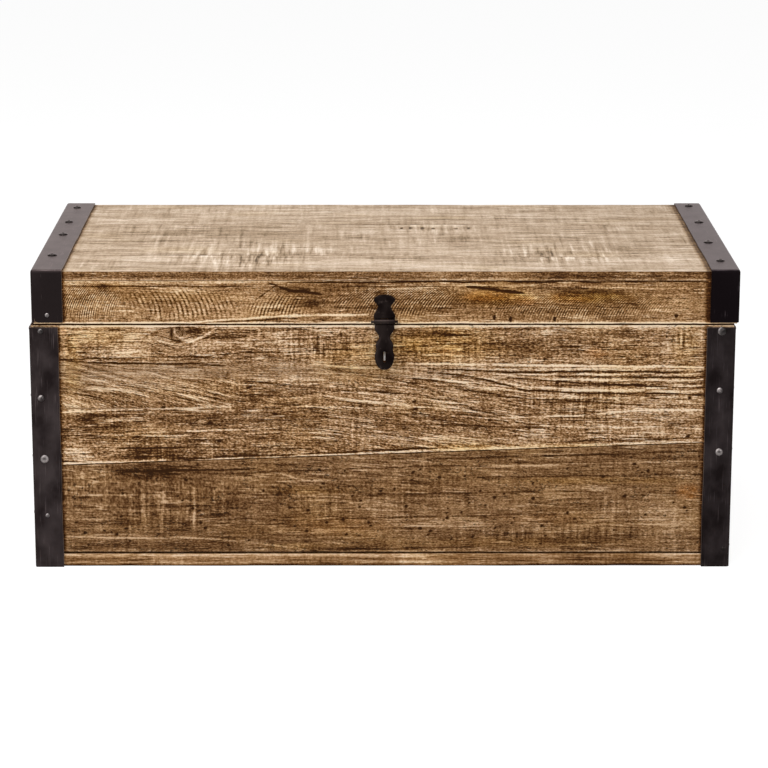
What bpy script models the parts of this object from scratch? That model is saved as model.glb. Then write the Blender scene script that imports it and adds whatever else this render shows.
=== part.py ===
"""A boarded trunk with iron corners, a hinged lid, a hasp with its staple and two drop handles.

Metres, +Z up. The front faces -Y. The origin lies on the floor, under the middle of the case.
"""

import math

import bmesh
import bpy
from mathutils import Matrix, Vector

# Clearances: between neighbours at rest, between moving pieces, and round a pin or nail in its hole
SEAT_GAP = 0.0003
RUNNING_GAP = 0.0004
HOLE_CLEARANCE = 0.0003

# Case timber
CASE_LENGTH = 0.995
CASE_DEPTH = 0.515
WALL_HEIGHT = 0.337
WALL_THICKNESS = 0.018
BOTTOM_THICKNESS = 0.019
ARRIS = 0.0012

# Lid timber: the boards lie on a frame of four rails, and the lid sits a little to the right
LID_SHIFT = 0.004
LID_GAP = 0.0004
RAIL_HEIGHT = 0.062
RAIL_THICKNESS = 0.018
LID_BOARD_THICKNESS = 0.0135

# Joints between boards, as shares of the panel's width at its two ends: the boards taper
FRONT_JOINTS = ((0.382, 0.489),)
BACK_JOINTS = ((0.47, 0.41),)
LEFT_END_JOINTS = ((0.36, 0.40),)
RIGHT_END_JOINTS = ((0.41, 0.37),)
BOTTOM_JOINTS = ((0.31, 0.33), (0.66, 0.64))
LID_JOINTS = ((0.231, 0.194), (0.680, 0.678))

# Irons, folded from flat strip; the corner irons reach below the timber and carry the trunk
IRON_THICKNESS = 0.0022
IRON_BEND = 0.0038
CORNER_FLANGE = 0.041
CORNER_IRON_DROP = 0.0043
FOOT_LIFT = 0.002
LID_FLANGE = {"left": 0.0445, "right": 0.041}
LID_SIDE_FLANGE = 0.045
LID_TAB_INSET = {"left": 0.0045, "right": 0.001}
LID_TAB_CORNER = 0.005
LID_TAB_CLEARANCE = 0.0023

# Dome nails
NAIL_HEAD_RADIUS = 0.004
NAIL_HEAD_HEIGHT = 0.0022
NAIL_SHANK_RADIUS = 0.0013
NAIL_LENGTH = 0.012
NAIL_MARGIN = 0.0055
NAIL_SIDES = 8

# Nails driven by eye: share of the iron's length from its foot or front, share of its flange from the corner
CORNER_NAILS = {
    "left": ((1.0, 0.40), (0.716, 0.36), (0.455, 0.42), (0.210, 0.47)),
    "right": ((1.0, 0.49), (0.748, 0.51), (0.484, 0.47), (0.064, 0.22)),
}
LID_TOP_NAILS = {
    "left": ((0.200, 0.46), (0.498, 0.46), (0.690, 0.43), (0.919, 0.45)),
    "right": ((0.124, 0.52), (0.383, 0.57), (0.687, 0.48), (0.948, 0.51)),
}
LID_TAB_NAIL = (0.10, 0.50)

# Back hinges: a rolled leaf each on case and lid, with a stop tongue behind the barrel
HINGE_SPREAD = 0.6
HINGE_WIDTH = 0.070
HINGE_LEAF = 0.036
HINGE_CORNER = 0.008
HINGE_THICKNESS = 0.002
HINGE_BARREL_RADIUS = 0.0045
HINGE_PIN_RADIUS = 0.0022
HINGE_KNUCKLES = 5
HINGE_STOP_REACH = 0.014
HINGE_STOP_THICKNESS = 0.0025
LID_OPENS = math.radians(105)
PIN_HEAD = 0.0015

# Hasp on the lid, with its staple on the case. At rest the leaf leans on the staple's nose
HASP_X = 0.0025
HASP_BARREL_RADIUS = 0.004
HASP_BARREL_WIDTH = 0.030
HASP_PIN_RADIUS = 0.0017
HASP_PIN_LENGTH = 0.038
HASP_STRIP = 0.0026
HASP_EDGE = 0.0014
HASP_CROWN = 0.0032
HASP_SHOULDER = 0.0006
HASP_HALF_WIDTH = {"plate": 0.0150, "leaf": 0.0140}
HASP_LENGTH = {"plate": 0.0386, "leaf": 0.0684}
# Where the forged outline is widest or narrowest, as shares of its length from the barrel and of its half width
HASP_WAISTS = {
    "plate": ((0, 0.987), (0.07, 1.013), (0.497, 0.613), (0.779, 1)),
    "leaf": ((0, 0.986), (0.069, 1.007), (0.270, 0.557), (0.445, 0.907), (0.536, 0.843), (0.690, 1)),
}
# Shares of the plate's half width and length
HASP_NAILS = ((0, 0.776), (-0.71, 0.19), (0.71, 0.19))
HASP_NAIL_SCALE = 0.6
STAPLE_SHARE = 0.731
STAPLE_WIRE = 0.0028
STAPLE_HALF_HEIGHT = 0.0052
STAPLE_PROJECTION = 0.0108
STAPLE_DEPTH = 0.012
SLOT_CLEARANCE = 0.0006
SLOT_END_CLEARANCE = 0.0014

# Drop handles on the two ends
HANDLE_HEIGHT_SHARE = 0.6
HANDLE_PLATE_WIDTH = 0.164
HANDLE_PLATE_HEIGHT = 0.036
HANDLE_PLATE_THICKNESS = 0.0025
HANDLE_GRIP = 0.110
HANDLE_DROP = 0.055
HANDLE_ROD_RADIUS = 0.0035
HANDLE_BEND = 0.012
HANDLE_STUB_BEND = 0.006
HANDLE_CLEARANCE = 0.0042
HANDLE_LUG_THICKNESS = 0.006
HANDLE_LUG_WALL = 0.0026
HANDLE_END = 0.003

# Worked out from the sizes above
HALF_LENGTH = CASE_LENGTH / 2
HALF_DEPTH = CASE_DEPTH / 2
WALL_FOOT = FOOT_LIFT + BOTTOM_THICKNESS + SEAT_GAP
CASE_TOP = WALL_FOOT + WALL_HEIGHT
RAIL_FOOT = CASE_TOP + LID_GAP
RAIL_TOP = RAIL_FOOT + RAIL_HEIGHT
LID_FOOT = RAIL_TOP + SEAT_GAP
LID_TOP = LID_FOOT + LID_BOARD_THICKNESS
IRON_OUT = SEAT_GAP + IRON_THICKNESS
CORNER_IRON_HEIGHT = CASE_TOP - CORNER_IRON_DROP
HINGE_AXIS = Vector((0.0, HALF_DEPTH + SEAT_GAP + HINGE_BARREL_RADIUS, CASE_TOP + LID_GAP / 2))
HASP_AXIS = Vector((HASP_X, -HALF_DEPTH - SEAT_GAP - HASP_BARREL_RADIUS, RAIL_FOOT + HASP_BARREL_RADIUS))
HASP_START = HASP_BARREL_RADIUS + HASP_SHOULDER
STAPLE_DISTANCE = HASP_LENGTH["leaf"] * STAPLE_SHARE
STAPLE_BEND = STAPLE_HALF_HEIGHT + STAPLE_WIRE / 2
HANDLE_HEIGHT = CASE_TOP * HANDLE_HEIGHT_SHARE
HANDLE_STANDOFF = SEAT_GAP + HANDLE_PLATE_THICKNESS + HANDLE_ROD_RADIUS + HANDLE_CLEARANCE
SIDES = {"left": -1, "right": 1}
FACES = {"front": -1, "back": 1}

X = Vector((1, 0, 0))
Y = Vector((0, 1, 0))
Z = Vector((0, 0, 1))


def clear_scene():
    for item in list(bpy.data.objects):
        bpy.data.objects.remove(item, do_unlink=True)


def make_material(name, colour, roughness, metallic):
    material = bpy.data.materials.new(name)
    material.use_nodes = True
    shader = material.node_tree.nodes["Principled BSDF"]
    shader.inputs["Base Color"].default_value = (*colour, 1)
    shader.inputs["Roughness"].default_value = roughness
    shader.inputs["Metallic"].default_value = metallic
    return material


def make_axis(name, place, parent=None):
    axis = bpy.data.objects.new(name, None)
    axis.empty_display_size = 0.05
    axis.location = place - (parent.location if parent else Vector())
    axis.parent = parent
    bpy.context.collection.objects.link(axis)
    return axis


def world_place(item):
    """Where an unturned object stands in the world, before the scene is evaluated."""
    return item.location + (world_place(item.parent) if item.parent else Vector())


def add_object(name, bm, material, at, parent=None, smooth=None):
    """Makes an object of a mesh drawn in world coordinates, with its origin at the given point."""
    bmesh.ops.recalc_face_normals(bm, faces=bm.faces)
    bmesh.ops.translate(bm, verts=bm.verts, vec=-at)
    mesh = bpy.data.meshes.new(name)
    bm.to_mesh(mesh)
    bm.free()
    if material:
        mesh.materials.append(material)
    item = bpy.data.objects.new(name, mesh)
    item.parent = parent
    item.location = at - (world_place(parent) if parent else Vector())
    bpy.context.collection.objects.link(item)
    if smooth:
        mesh.shade_smooth()
        mesh.set_sharp_from_angle(angle=math.radians(smooth))
    return item


def add_helper(name, bm, at, parent=None):
    """A solid that only shapes another piece."""
    item = add_object(name, bm, None, at, parent)
    item.hide_render = True
    item.display_type = "WIRE"
    return item


def combine(item, helper, operation):
    modifier = item.modifiers.new(helper.name, "BOOLEAN")
    modifier.operation = operation
    modifier.object = helper


def soften(item, width):
    modifier = item.modifiers.new("arris", "BEVEL")
    modifier.width = width
    modifier.segments = 2
    modifier.limit_method = "ANGLE"


def add_box(bm, low, high):
    size = high - low
    matrix = Matrix.Translation((low + high) / 2) @ Matrix.Diagonal((*size, 1))
    bmesh.ops.create_cube(bm, size=1.0, matrix=matrix)


def add_prism(bm, outline, along):
    face = bm.faces.new([bm.verts.new(point) for point in outline])
    made = bmesh.ops.extrude_face_region(bm, geom=[face])
    moved = [part for part in made["geom"] if isinstance(part, bmesh.types.BMVert)]
    bmesh.ops.translate(bm, verts=moved, vec=along)


def facing(point, direction):
    """The matrix that stands a shape drawn along +Z on a point, looking in a direction."""
    return Matrix.Translation(point) @ direction.to_track_quat("Z", "Y").to_matrix().to_4x4()


def add_cylinder(bm, radius, start, end, sides):
    place = facing((start + end) / 2, end - start)
    bmesh.ops.create_cone(bm, cap_ends=True, segments=sides, radius1=radius, radius2=radius,
                          depth=(end - start).length, matrix=place)


def add_turned(bm, profile, place, sides):
    """Turns a profile of (radius, height) points, from axis to axis, into a closed solid."""
    before = set(bm.verts)
    points = [bm.verts.new((radius, 0, height)) for radius, height in profile]
    edges = [bm.edges.new(pair) for pair in zip(points, points[1:])]
    bmesh.ops.spin(bm, geom=points + edges, cent=(0, 0, 0), axis=(0, 0, 1), angle=math.tau,
                   steps=sides, use_merge=True)
    made = [vert for vert in bm.verts if vert not in before]
    bmesh.ops.transform(bm, matrix=place, verts=made)
    bmesh.ops.remove_doubles(bm, verts=made, dist=1e-6)


def make_nail_mesh(material):
    """A dome nail drawn along +Z: its head rests a seat's gap above the origin, its shank goes below."""
    profile = ((0, NAIL_HEAD_HEIGHT), (NAIL_HEAD_RADIUS * 0.62, NAIL_HEAD_HEIGHT * 0.72),
               (NAIL_HEAD_RADIUS, 0), (NAIL_SHANK_RADIUS, 0), (NAIL_SHANK_RADIUS, -NAIL_LENGTH * 0.75),
               (0, -NAIL_LENGTH))
    bm = bmesh.new()
    add_turned(bm, profile, Matrix.Translation(Z * SEAT_GAP), NAIL_SIDES)
    bmesh.ops.recalc_face_normals(bm, faces=bm.faces)
    mesh = bpy.data.meshes.new("dome_nail")
    bm.to_mesh(mesh)
    bm.free()
    mesh.materials.append(material)
    mesh.shade_smooth()
    mesh.set_sharp_from_angle(angle=math.radians(50))
    return mesh


class Nails:
    """The nails of one body, all of one mesh, and the holes that they are driven into."""

    def __init__(self, mesh, parent=None):
        self.mesh = mesh
        self.parent = parent
        self.holes = bmesh.new()

    def drive(self, name, point, outward, scale=1.0):
        nail = bpy.data.objects.new(name, self.mesh)
        nail.parent = self.parent
        nail.location = point - (world_place(self.parent) if self.parent else Vector())
        nail.rotation_mode = "QUATERNION"
        nail.rotation_quaternion = outward.to_track_quat("Z", "Y")
        nail.scale = (scale, scale, scale)
        bpy.context.collection.objects.link(nail)
        start = point + outward * NAIL_HEAD_HEIGHT
        end = point - outward * (NAIL_LENGTH * scale + HOLE_CLEARANCE)
        add_cylinder(self.holes, NAIL_SHANK_RADIUS * scale + HOLE_CLEARANCE * 1.5, start, end, NAIL_SIDES)


def lay_boards(names, corner, along, across, thickness, joints, material, holes, parent=None):
    """A panel of boards, laid across from a corner; each joint runs between its shares of the width."""
    edges = ((0, 0), *joints, (1, 1))
    step = across.normalized() * SEAT_GAP / 2
    for index, name in enumerate(names):
        near, far = edges[index], edges[index + 1]
        low = step if index else Vector()
        high = step if index < len(names) - 1 else Vector()
        outline = (
            corner + across * near[0] + low,
            corner + along + across * near[1] + low,
            corner + along + across * far[1] - high,
            corner + across * far[0] - high,
        )
        bm = bmesh.new()
        add_prism(bm, outline, thickness)
        board = add_object(name, bm, material, outline[0], parent)
        soften(board, ARRIS)
        combine(board, holes, "DIFFERENCE")


def make_case_boards(timber, holes):
    inner_depth = CASE_DEPTH - 2 * (WALL_THICKNESS + SEAT_GAP)
    foot = WALL_FOOT
    lay_boards(("bottom_board_front", "bottom_board_middle", "bottom_board_back"),
               Vector((-HALF_LENGTH, -HALF_DEPTH, FOOT_LIFT)), X * CASE_LENGTH, Y * CASE_DEPTH,
               Z * BOTTOM_THICKNESS, BOTTOM_JOINTS, timber, holes)
    lay_boards(("front_board_lower", "front_board_upper"), Vector((-HALF_LENGTH, -HALF_DEPTH, foot)),
               X * CASE_LENGTH, Z * WALL_HEIGHT, Y * WALL_THICKNESS, FRONT_JOINTS, timber, holes)
    lay_boards(("back_board_lower", "back_board_upper"), Vector((-HALF_LENGTH, HALF_DEPTH, foot)),
               X * CASE_LENGTH, Z * WALL_HEIGHT, -Y * WALL_THICKNESS, BACK_JOINTS, timber, holes)
    for side, joints in (("left", LEFT_END_JOINTS), ("right", RIGHT_END_JOINTS)):
        corner = Vector((SIDES[side] * HALF_LENGTH, -inner_depth / 2, foot))
        lay_boards((f"{side}_end_board_lower", f"{side}_end_board_upper"), corner, Y * inner_depth,
                   Z * WALL_HEIGHT, -X * SIDES[side] * WALL_THICKNESS, joints, timber, holes)


def make_lid_boards(timber, holes, axis):
    start = -HALF_LENGTH + LID_SHIFT
    inner_depth = CASE_DEPTH - 2 * (RAIL_THICKNESS + SEAT_GAP)
    lay_boards(("lid_board_front", "lid_board_middle", "lid_board_back"),
               Vector((start, -HALF_DEPTH, LID_FOOT)), X * CASE_LENGTH, Y * CASE_DEPTH,
               Z * LID_BOARD_THICKNESS, LID_JOINTS, timber, holes, axis)
    for face, sign in FACES.items():
        lay_boards((f"lid_{face}_rail",), Vector((start, sign * HALF_DEPTH, RAIL_FOOT)), X * CASE_LENGTH,
                   Z * RAIL_HEIGHT, -Y * sign * RAIL_THICKNESS, (), timber, holes, axis)
    for side, sign in SIDES.items():
        corner = Vector((LID_SHIFT + sign * HALF_LENGTH, -inner_depth / 2, RAIL_FOOT))
        lay_boards((f"lid_{side}_rail",), corner, Y * inner_depth, Z * RAIL_HEIGHT,
                   -X * sign * RAIL_THICKNESS, (), timber, holes, axis)


def fold(item):
    """Gives a skin of outer faces the thickness of the iron, inwards."""
    modifier = item.modifiers.new("thickness", "SOLIDIFY")
    modifier.thickness = IRON_THICKNESS
    modifier.offset = -1
    modifier.use_even_offset = True


def make_corner_iron(name, face, side, iron, holes):
    """An upright angle iron on one corner of the case."""
    out_x = SIDES[side]
    out_y = FACES[face]
    corner = Vector((out_x * (HALF_LENGTH + IRON_OUT), out_y * (HALF_DEPTH + IRON_OUT), 0))
    bm = bmesh.new()
    rows = [corner - X * out_x * CORNER_FLANGE, corner, corner - Y * out_y * CORNER_FLANGE]
    points = [bm.verts.new(point) for point in rows]
    edges = [bm.edges.new(pair) for pair in zip(points, points[1:])]
    made = bmesh.ops.extrude_edge_only(bm, edges=edges)
    top = [part for part in made["geom"] if isinstance(part, bmesh.types.BMVert)]
    bmesh.ops.translate(bm, verts=top, vec=Z * CORNER_IRON_HEIGHT)
    bend = [edge for edge in bm.edges if len(edge.link_faces) == 2]
    bmesh.ops.bevel(bm, geom=bend, offset=IRON_BEND, segments=4, profile=0.5, affect="EDGES", material=-1)
    turn_outwards(bm, Vector((0, 0, CORNER_IRON_HEIGHT / 2)))
    item = add_skin(name, bm, iron, corner)
    fold(item)
    combine(item, holes, "DIFFERENCE")


def turn_outwards(bm, centre):
    """Faces an open skin away from a point inside it."""
    for part in bm.faces:
        part.normal_update()
        if part.normal.dot(part.calc_center_median() - centre) < 0:
            part.normal_flip()


def add_skin(name, bm, material, at, parent=None):
    """Like add_object, for an open skin whose faces already look outwards."""
    bmesh.ops.translate(bm, verts=bm.verts, vec=-at)
    mesh = bpy.data.meshes.new(name)
    bm.to_mesh(mesh)
    bm.free()
    mesh.materials.append(material)
    mesh.shade_smooth()
    mesh.set_sharp_from_angle(angle=math.radians(35))
    item = bpy.data.objects.new(name, mesh)
    item.parent = parent
    item.location = at - (world_place(parent) if parent else Vector())
    bpy.context.collection.objects.link(item)
    return item


def trim(bm, point, direction):
    """Cuts off what lies beyond a plane."""
    geometry = bm.verts[:] + bm.edges[:] + bm.faces[:]
    bmesh.ops.bisect_plane(bm, geom=geometry, plane_co=point, plane_no=direction, clear_outer=True)


def make_lid_iron(name, side, iron, holes, axis):
    """A strap over the lid's edge, with a side flange and a tab folded down at front and back."""
    out = SIDES[side]
    outer = LID_SHIFT + out * (HALF_LENGTH + IRON_OUT)
    inner = outer - out * LID_FLANGE[side]
    top = LID_TOP + IRON_OUT
    tab_foot = RAIL_FOOT + LID_TAB_CLEARANCE
    side_foot = top - LID_SIDE_FLANGE
    tab_edge = outer - out * LID_TAB_INSET[side]
    deep = HALF_DEPTH + IRON_OUT
    spare = 4 * IRON_BEND

    bm = bmesh.new()
    add_box(bm, Vector((min(outer, inner - out * spare), -deep, tab_foot - spare)),
            Vector((max(outer, inner - out * spare), deep, top)))
    bmesh.ops.bevel(bm, geom=bm.edges[:], offset=IRON_BEND, segments=3, profile=0.5, affect="EDGES",
                    material=-1)
    trim(bm, Vector((inner, 0, 0)), -X * out)
    trim(bm, Vector((0, 0, tab_foot)), -Z)
    for point, direction in ((Vector((0, 0, side_foot)), Z), (Vector((tab_edge, 0, 0)), X)):
        geometry = bm.verts[:] + bm.edges[:] + bm.faces[:]
        bmesh.ops.bisect_plane(bm, geom=geometry, plane_co=point, plane_no=direction)
    low = [part for part in bm.faces
           if part.calc_center_median().z < side_foot and (part.calc_center_median().x - tab_edge) * out > 0]
    bmesh.ops.delete(bm, geom=low, context="FACES")
    corners = [vert for vert in bm.verts
               if abs(vert.co.x - tab_edge) < 1e-6 and abs(vert.co.z - tab_foot) < 1e-6]
    bmesh.ops.bevel(bm, geom=corners, offset=LID_TAB_CORNER, segments=3, profile=0.5, affect="VERTICES",
                    material=-1)
    turn_outwards(bm, Vector((inner, 0, side_foot)))
    item = add_skin(name, bm, iron, Vector((outer, 0, top)), axis)
    fold(item)
    combine(item, holes, "DIFFERENCE")


def drive_corner_nails(nails):
    span = CORNER_IRON_HEIGHT - 2 * NAIL_MARGIN
    for side, places in CORNER_NAILS.items():
        for index, (share, inset) in enumerate(places, 1):
            point = Vector((SIDES[side] * (HALF_LENGTH + IRON_OUT - CORNER_FLANGE * inset),
                            -HALF_DEPTH - IRON_OUT, NAIL_MARGIN + share * span))
            nails.drive(f"front_{side}_corner_nail_{index}", point, -Y)


def drive_lid_nails(nails):
    deep = HALF_DEPTH + IRON_OUT
    for side, places in LID_TOP_NAILS.items():
        outer = LID_SHIFT + SIDES[side] * (HALF_LENGTH + IRON_OUT)
        for index, (share, inset) in enumerate(places, 1):
            point = Vector((outer - SIDES[side] * LID_FLANGE[side] * inset, -deep + 2 * deep * share,
                            LID_TOP + IRON_OUT))
            nails.drive(f"lid_{side}_iron_nail_{index}", point, Z)
    height, inset = LID_TAB_NAIL
    foot = RAIL_FOOT + LID_TAB_CLEARANCE + NAIL_MARGIN
    point = Vector((LID_SHIFT - HALF_LENGTH - IRON_OUT + LID_FLANGE["left"] * inset, -deep,
                    foot + height * (RAIL_TOP - foot)))
    nails.drive("lid_left_iron_tab_nail", point, -Y)


def rolled_outline(radius, thickness, reach, steps):
    """A leaf rolled round its pin, as (towards the wood, along the leaf) points, counted from the pin."""
    turn = math.tau - math.acos((radius - thickness) / radius)
    arc = [(radius * math.cos(turn * k / steps), -radius * math.sin(turn * k / steps))
           for k in range(steps + 1)]
    return [(radius, reach), *arc, (radius - thickness, reach)]


def spans(width, count):
    """Start and end of each knuckle along a barrel centred on zero."""
    step = width / count
    return [(-width / 2 + step * k + RUNNING_GAP / 2, -width / 2 + step * (k + 1) - RUNNING_GAP / 2)
            for k in range(count)]


def make_hinge_leaf(name, centre_x, leaf_up, iron, holes, parent=None):
    """One leaf of a back hinge: it lies on the outside of the back and rolls round the pin."""
    axis = HINGE_AXIS + X * centre_x
    half = HINGE_WIDTH / 2
    radius = HINGE_BARREL_RADIUS
    clear = radius + RUNNING_GAP
    along = Z if leaf_up else -Z
    outline = [axis - X * half - Y * inward + along * reach
               for inward, reach in rolled_outline(radius, HINGE_THICKNESS, HINGE_LEAF, 14)]
    bm = bmesh.new()
    add_prism(bm, outline, X * HINGE_WIDTH)
    corners = [edge for edge in bm.edges
               if all((vert.co - axis).dot(along) > HINGE_LEAF - ARRIS for vert in edge.verts)
               and abs(edge.verts[0].co.x - edge.verts[1].co.x) < ARRIS]
    bmesh.ops.bevel(bm, geom=corners, offset=HINGE_CORNER, segments=4, profile=0.5, affect="EDGES",
                    material=-1)
    leaf = add_object(name, bm, iron, axis, parent, smooth=35)

    if not leaf_up:
        # The tongue lies under the lid's leaf once the lid is fully open
        down = Vector((0, math.sin(LID_OPENS), math.cos(LID_OPENS)))
        across = Vector((0, -math.cos(LID_OPENS), math.sin(LID_OPENS)))
        upper = radius - HINGE_THICKNESS - SEAT_GAP
        lower = upper - HINGE_STOP_THICKNESS
        start = radius * 0.5
        tongue = [axis - X * half + down * reach + across * height
                  for reach, height in ((start, lower), (HINGE_STOP_REACH, lower),
                                        (HINGE_STOP_REACH, upper), (start, upper))]
        bm = bmesh.new()
        add_prism(bm, tongue, X * HINGE_WIDTH)
        combine(leaf, add_helper(f"{name}_tongue", bm, axis, parent), "UNION")

    others = [span for index, span in enumerate(spans(HINGE_WIDTH, HINGE_KNUCKLES))
              if index % 2 == (0 if leaf_up else 1)]
    bm = bmesh.new()
    for start, end in others:
        near = axis + X * (start - RUNNING_GAP) - Y * (radius + clear) - along * (radius + clear)
        far = axis + X * (end + RUNNING_GAP) + Y * clear + along * clear
        low = Vector([min(pair) for pair in zip(near, far)])
        high = Vector([max(pair) for pair in zip(near, far)])
        add_box(bm, low, high)
    combine(leaf, add_helper(f"{name}_knuckle_gaps", bm, axis, parent), "DIFFERENCE")
    bm = bmesh.new()
    bore = HINGE_PIN_RADIUS + HOLE_CLEARANCE
    add_cylinder(bm, bore, axis - X * HINGE_WIDTH, axis + X * HINGE_WIDTH, 14)
    combine(leaf, add_helper(f"{name}_bore", bm, axis, parent), "DIFFERENCE")
    combine(leaf, holes, "DIFFERENCE")


def make_pin(name, centre, half_length, radius, head_radius, iron, parent=None):
    """A pin with a riveted head at each end."""
    profile = ((0, -half_length), (head_radius * 0.8, -half_length), (head_radius, -half_length + PIN_HEAD / 2),
               (head_radius, -half_length + PIN_HEAD), (radius, -half_length + PIN_HEAD))
    mirrored = tuple((reach, -height) for reach, height in reversed(profile))
    bm = bmesh.new()
    add_turned(bm, profile + mirrored, facing(centre, X), 14)
    add_object(name, bm, iron, centre, parent, smooth=40)


def make_hinges(iron, case_holes, lid_holes, lid_axis):
    half = HINGE_WIDTH / 2 + RUNNING_GAP + PIN_HEAD
    for name, sign in SIDES.items():
        centre_x = sign * CASE_LENGTH * HINGE_SPREAD / 2
        make_hinge_leaf(f"hinge_{name}_case_leaf", centre_x, False, iron, case_holes)
        make_hinge_leaf(f"hinge_{name}_lid_leaf", centre_x, True, iron, lid_holes, lid_axis)
        make_pin(f"hinge_{name}_pin", HINGE_AXIS + X * centre_x, half, HINGE_PIN_RADIUS,
                 HINGE_PIN_RADIUS * 1.6, iron)


def half_width(kind, share):
    """Half width of a forged outline: it eases between its waists and ends in a quarter of an ellipse."""
    waists = HASP_WAISTS[kind]
    widest = HASP_HALF_WIDTH[kind]
    last = waists[-1][0]
    if share >= last:
        return widest * math.sqrt(max(0, 1 - ((share - last) / (1 - last)) ** 2))
    for (near, before), (far, after) in zip(waists, waists[1:]):
        if share <= far:
            ease = (1 - math.cos(math.pi * (share - near) / (far - near))) / 2
            return widest * (before + (after - before) * ease)
    return widest


def reach_of(kind, share):
    """Distance from the pin at a share of a forging's length."""
    return HASP_START + (HASP_LENGTH[kind] - HASP_START) * share


def add_forging(bm, kind, place):
    """A flat-backed bar with a crowned face; along +X its width, along +Z its length, +Y its front."""
    last = HASP_WAISTS[kind][-1][0]
    body_rows = 20
    end_rows = 7
    arc = 6
    shares = [last * row / body_rows for row in range(body_rows)]
    shares += [last + (1 - last) * math.sin(math.pi / 2 * row / end_rows) for row in range(end_rows)]
    loops = []
    for share in shares:
        half = half_width(kind, share)
        section = [(-half, 0)]
        section += [(-half * math.cos(math.pi * k / arc),
                     HASP_EDGE + (HASP_CROWN - HASP_EDGE) * math.sin(math.pi * k / arc))
                    for k in range(arc + 1)]
        section += [(half, 0)]
        loops.append([bm.verts.new(place @ Vector((x, y, reach_of(kind, share)))) for x, y in section])
    for near, far in zip(loops, loops[1:]):
        for k in range(len(near)):
            after = (k + 1) % len(near)
            bm.faces.new((near[k], near[after], far[after], far[k]))
    bm.faces.new(loops[0][::-1])
    bm.faces.new(loops[-1])


def hasp_lean():
    """The angle at which the leaf's back, a barrel's radius behind the pin, lies just off the staple's nose."""
    bend_out = HASP_BARREL_RADIUS + SEAT_GAP + STAPLE_BEND - STAPLE_PROJECTION
    clear = HASP_BARREL_RADIUS + STAPLE_BEND + SEAT_GAP
    return math.asin(clear / math.hypot(bend_out, STAPLE_DISTANCE)) - math.atan2(bend_out, STAPLE_DISTANCE)


def hasp_place(lean, up):
    """Where a hasp forging lies: its back a barrel's radius behind the pin, its length up or down."""
    turn = Matrix.Rotation(-lean, 4, "X")
    if up:
        drawn = Matrix(((1, 0, 0), (0, -1, 0), (0, 0, 1))).to_4x4()
    else:
        drawn = Matrix(((1, 0, 0), (0, -1, 0), (0, 0, -1))).to_4x4()
    return Matrix.Translation(HASP_AXIS) @ turn @ Matrix.Translation(Y * HASP_BARREL_RADIUS) @ drawn


def make_hasp_part(name, kind, lean, iron, cutters, parent):
    """A hasp forging with its share of the barrel: the outer knuckles on the plate, the middle on the leaf."""
    up = kind == "plate"
    place = hasp_place(lean, up)
    bm = bmesh.new()
    add_forging(bm, kind, place)
    part = add_object(name, bm, iron, HASP_AXIS, parent, smooth=35)
    bm = bmesh.new()
    knuckles = [span for index, span in enumerate(spans(HASP_BARREL_WIDTH, 3)) if (index != 1) == up]
    for start, end in knuckles:
        outline = [place @ Vector((start, HASP_BARREL_RADIUS - inward, reach)) for inward, reach in
                   rolled_outline(HASP_BARREL_RADIUS, HASP_STRIP, HASP_START * 1.5, 12)]
        along = place.to_3x3() @ Vector((end - start, 0, 0))
        add_prism(bm, outline, along)
    combine(part, add_helper(f"{name}_knuckles", bm, HASP_AXIS, parent), "UNION")
    bm = bmesh.new()
    reach = X * HASP_PIN_LENGTH
    add_cylinder(bm, HASP_PIN_RADIUS + HOLE_CLEARANCE, HASP_AXIS - reach, HASP_AXIS + reach, 12)
    combine(part, add_helper(f"{name}_bore", bm, HASP_AXIS, parent), "DIFFERENCE")
    for cutter in cutters:
        combine(part, cutter, "DIFFERENCE")


def make_slot_cutter(lean, parent):
    place = hasp_place(lean, False)
    round_end = STAPLE_WIRE / 2 + SLOT_CLEARANCE
    straight = STAPLE_BEND + SLOT_END_CLEARANCE - round_end
    steps = 6
    outline = []
    for end in (1, -1):
        for k in range(steps + 1):
            angle = math.pi * k / steps
            outline.append((end * math.cos(angle) * round_end,
                            STAPLE_DISTANCE + end * (straight + math.sin(angle) * round_end)))
    bm = bmesh.new()
    add_prism(bm, [place @ Vector((x, -HASP_CROWN, z)) for x, z in outline],
              place.to_3x3() @ Vector((0, HASP_CROWN * 3, 0)))
    return add_helper("hasp_slot", bm, HASP_AXIS, parent)


def make_hasp(iron, lid_holes, lid_axis, hasp_axis):
    lean = hasp_lean()
    make_hasp_part("hasp_plate", "plate", 0, iron, [lid_holes], lid_axis)
    make_hasp_part("hasp_leaf", "leaf", lean, iron, [make_slot_cutter(lean, hasp_axis)], hasp_axis)
    make_pin("hasp_pin", HASP_AXIS, HASP_PIN_LENGTH / 2, HASP_PIN_RADIUS, HASP_PIN_RADIUS * 1.45, iron,
             lid_axis)


def drive_hasp_nails(nails):
    for index, (offset, share) in enumerate(HASP_NAILS, 1):
        crown = HASP_EDGE + (HASP_CROWN - HASP_EDGE) * math.sqrt(1 - offset ** 2)
        point = HASP_AXIS + Z * reach_of("plate", share) + X * offset * half_width("plate", share)
        point.y = -HALF_DEPTH - SEAT_GAP - crown
        nails.drive(f"hasp_nail_{index}", point, -Y, HASP_NAIL_SCALE)


def add_rod(name, points, radius, sides_setting, iron, at, parent=None):
    """A round bar bent along a line of points."""
    curve = bpy.data.curves.new(name, "CURVE")
    curve.dimensions = "3D"
    curve.bevel_depth = radius
    curve.bevel_resolution = sides_setting
    curve.use_fill_caps = True
    spline = curve.splines.new("POLY")
    spline.points.add(len(points) - 1)
    for target, point in zip(spline.points, points):
        target.co = (*(point - at), 1)
    curve.materials.append(iron)
    item = bpy.data.objects.new(name, curve)
    item.parent = parent
    item.location = at - (world_place(parent) if parent else Vector())
    bpy.context.collection.objects.link(item)


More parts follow.
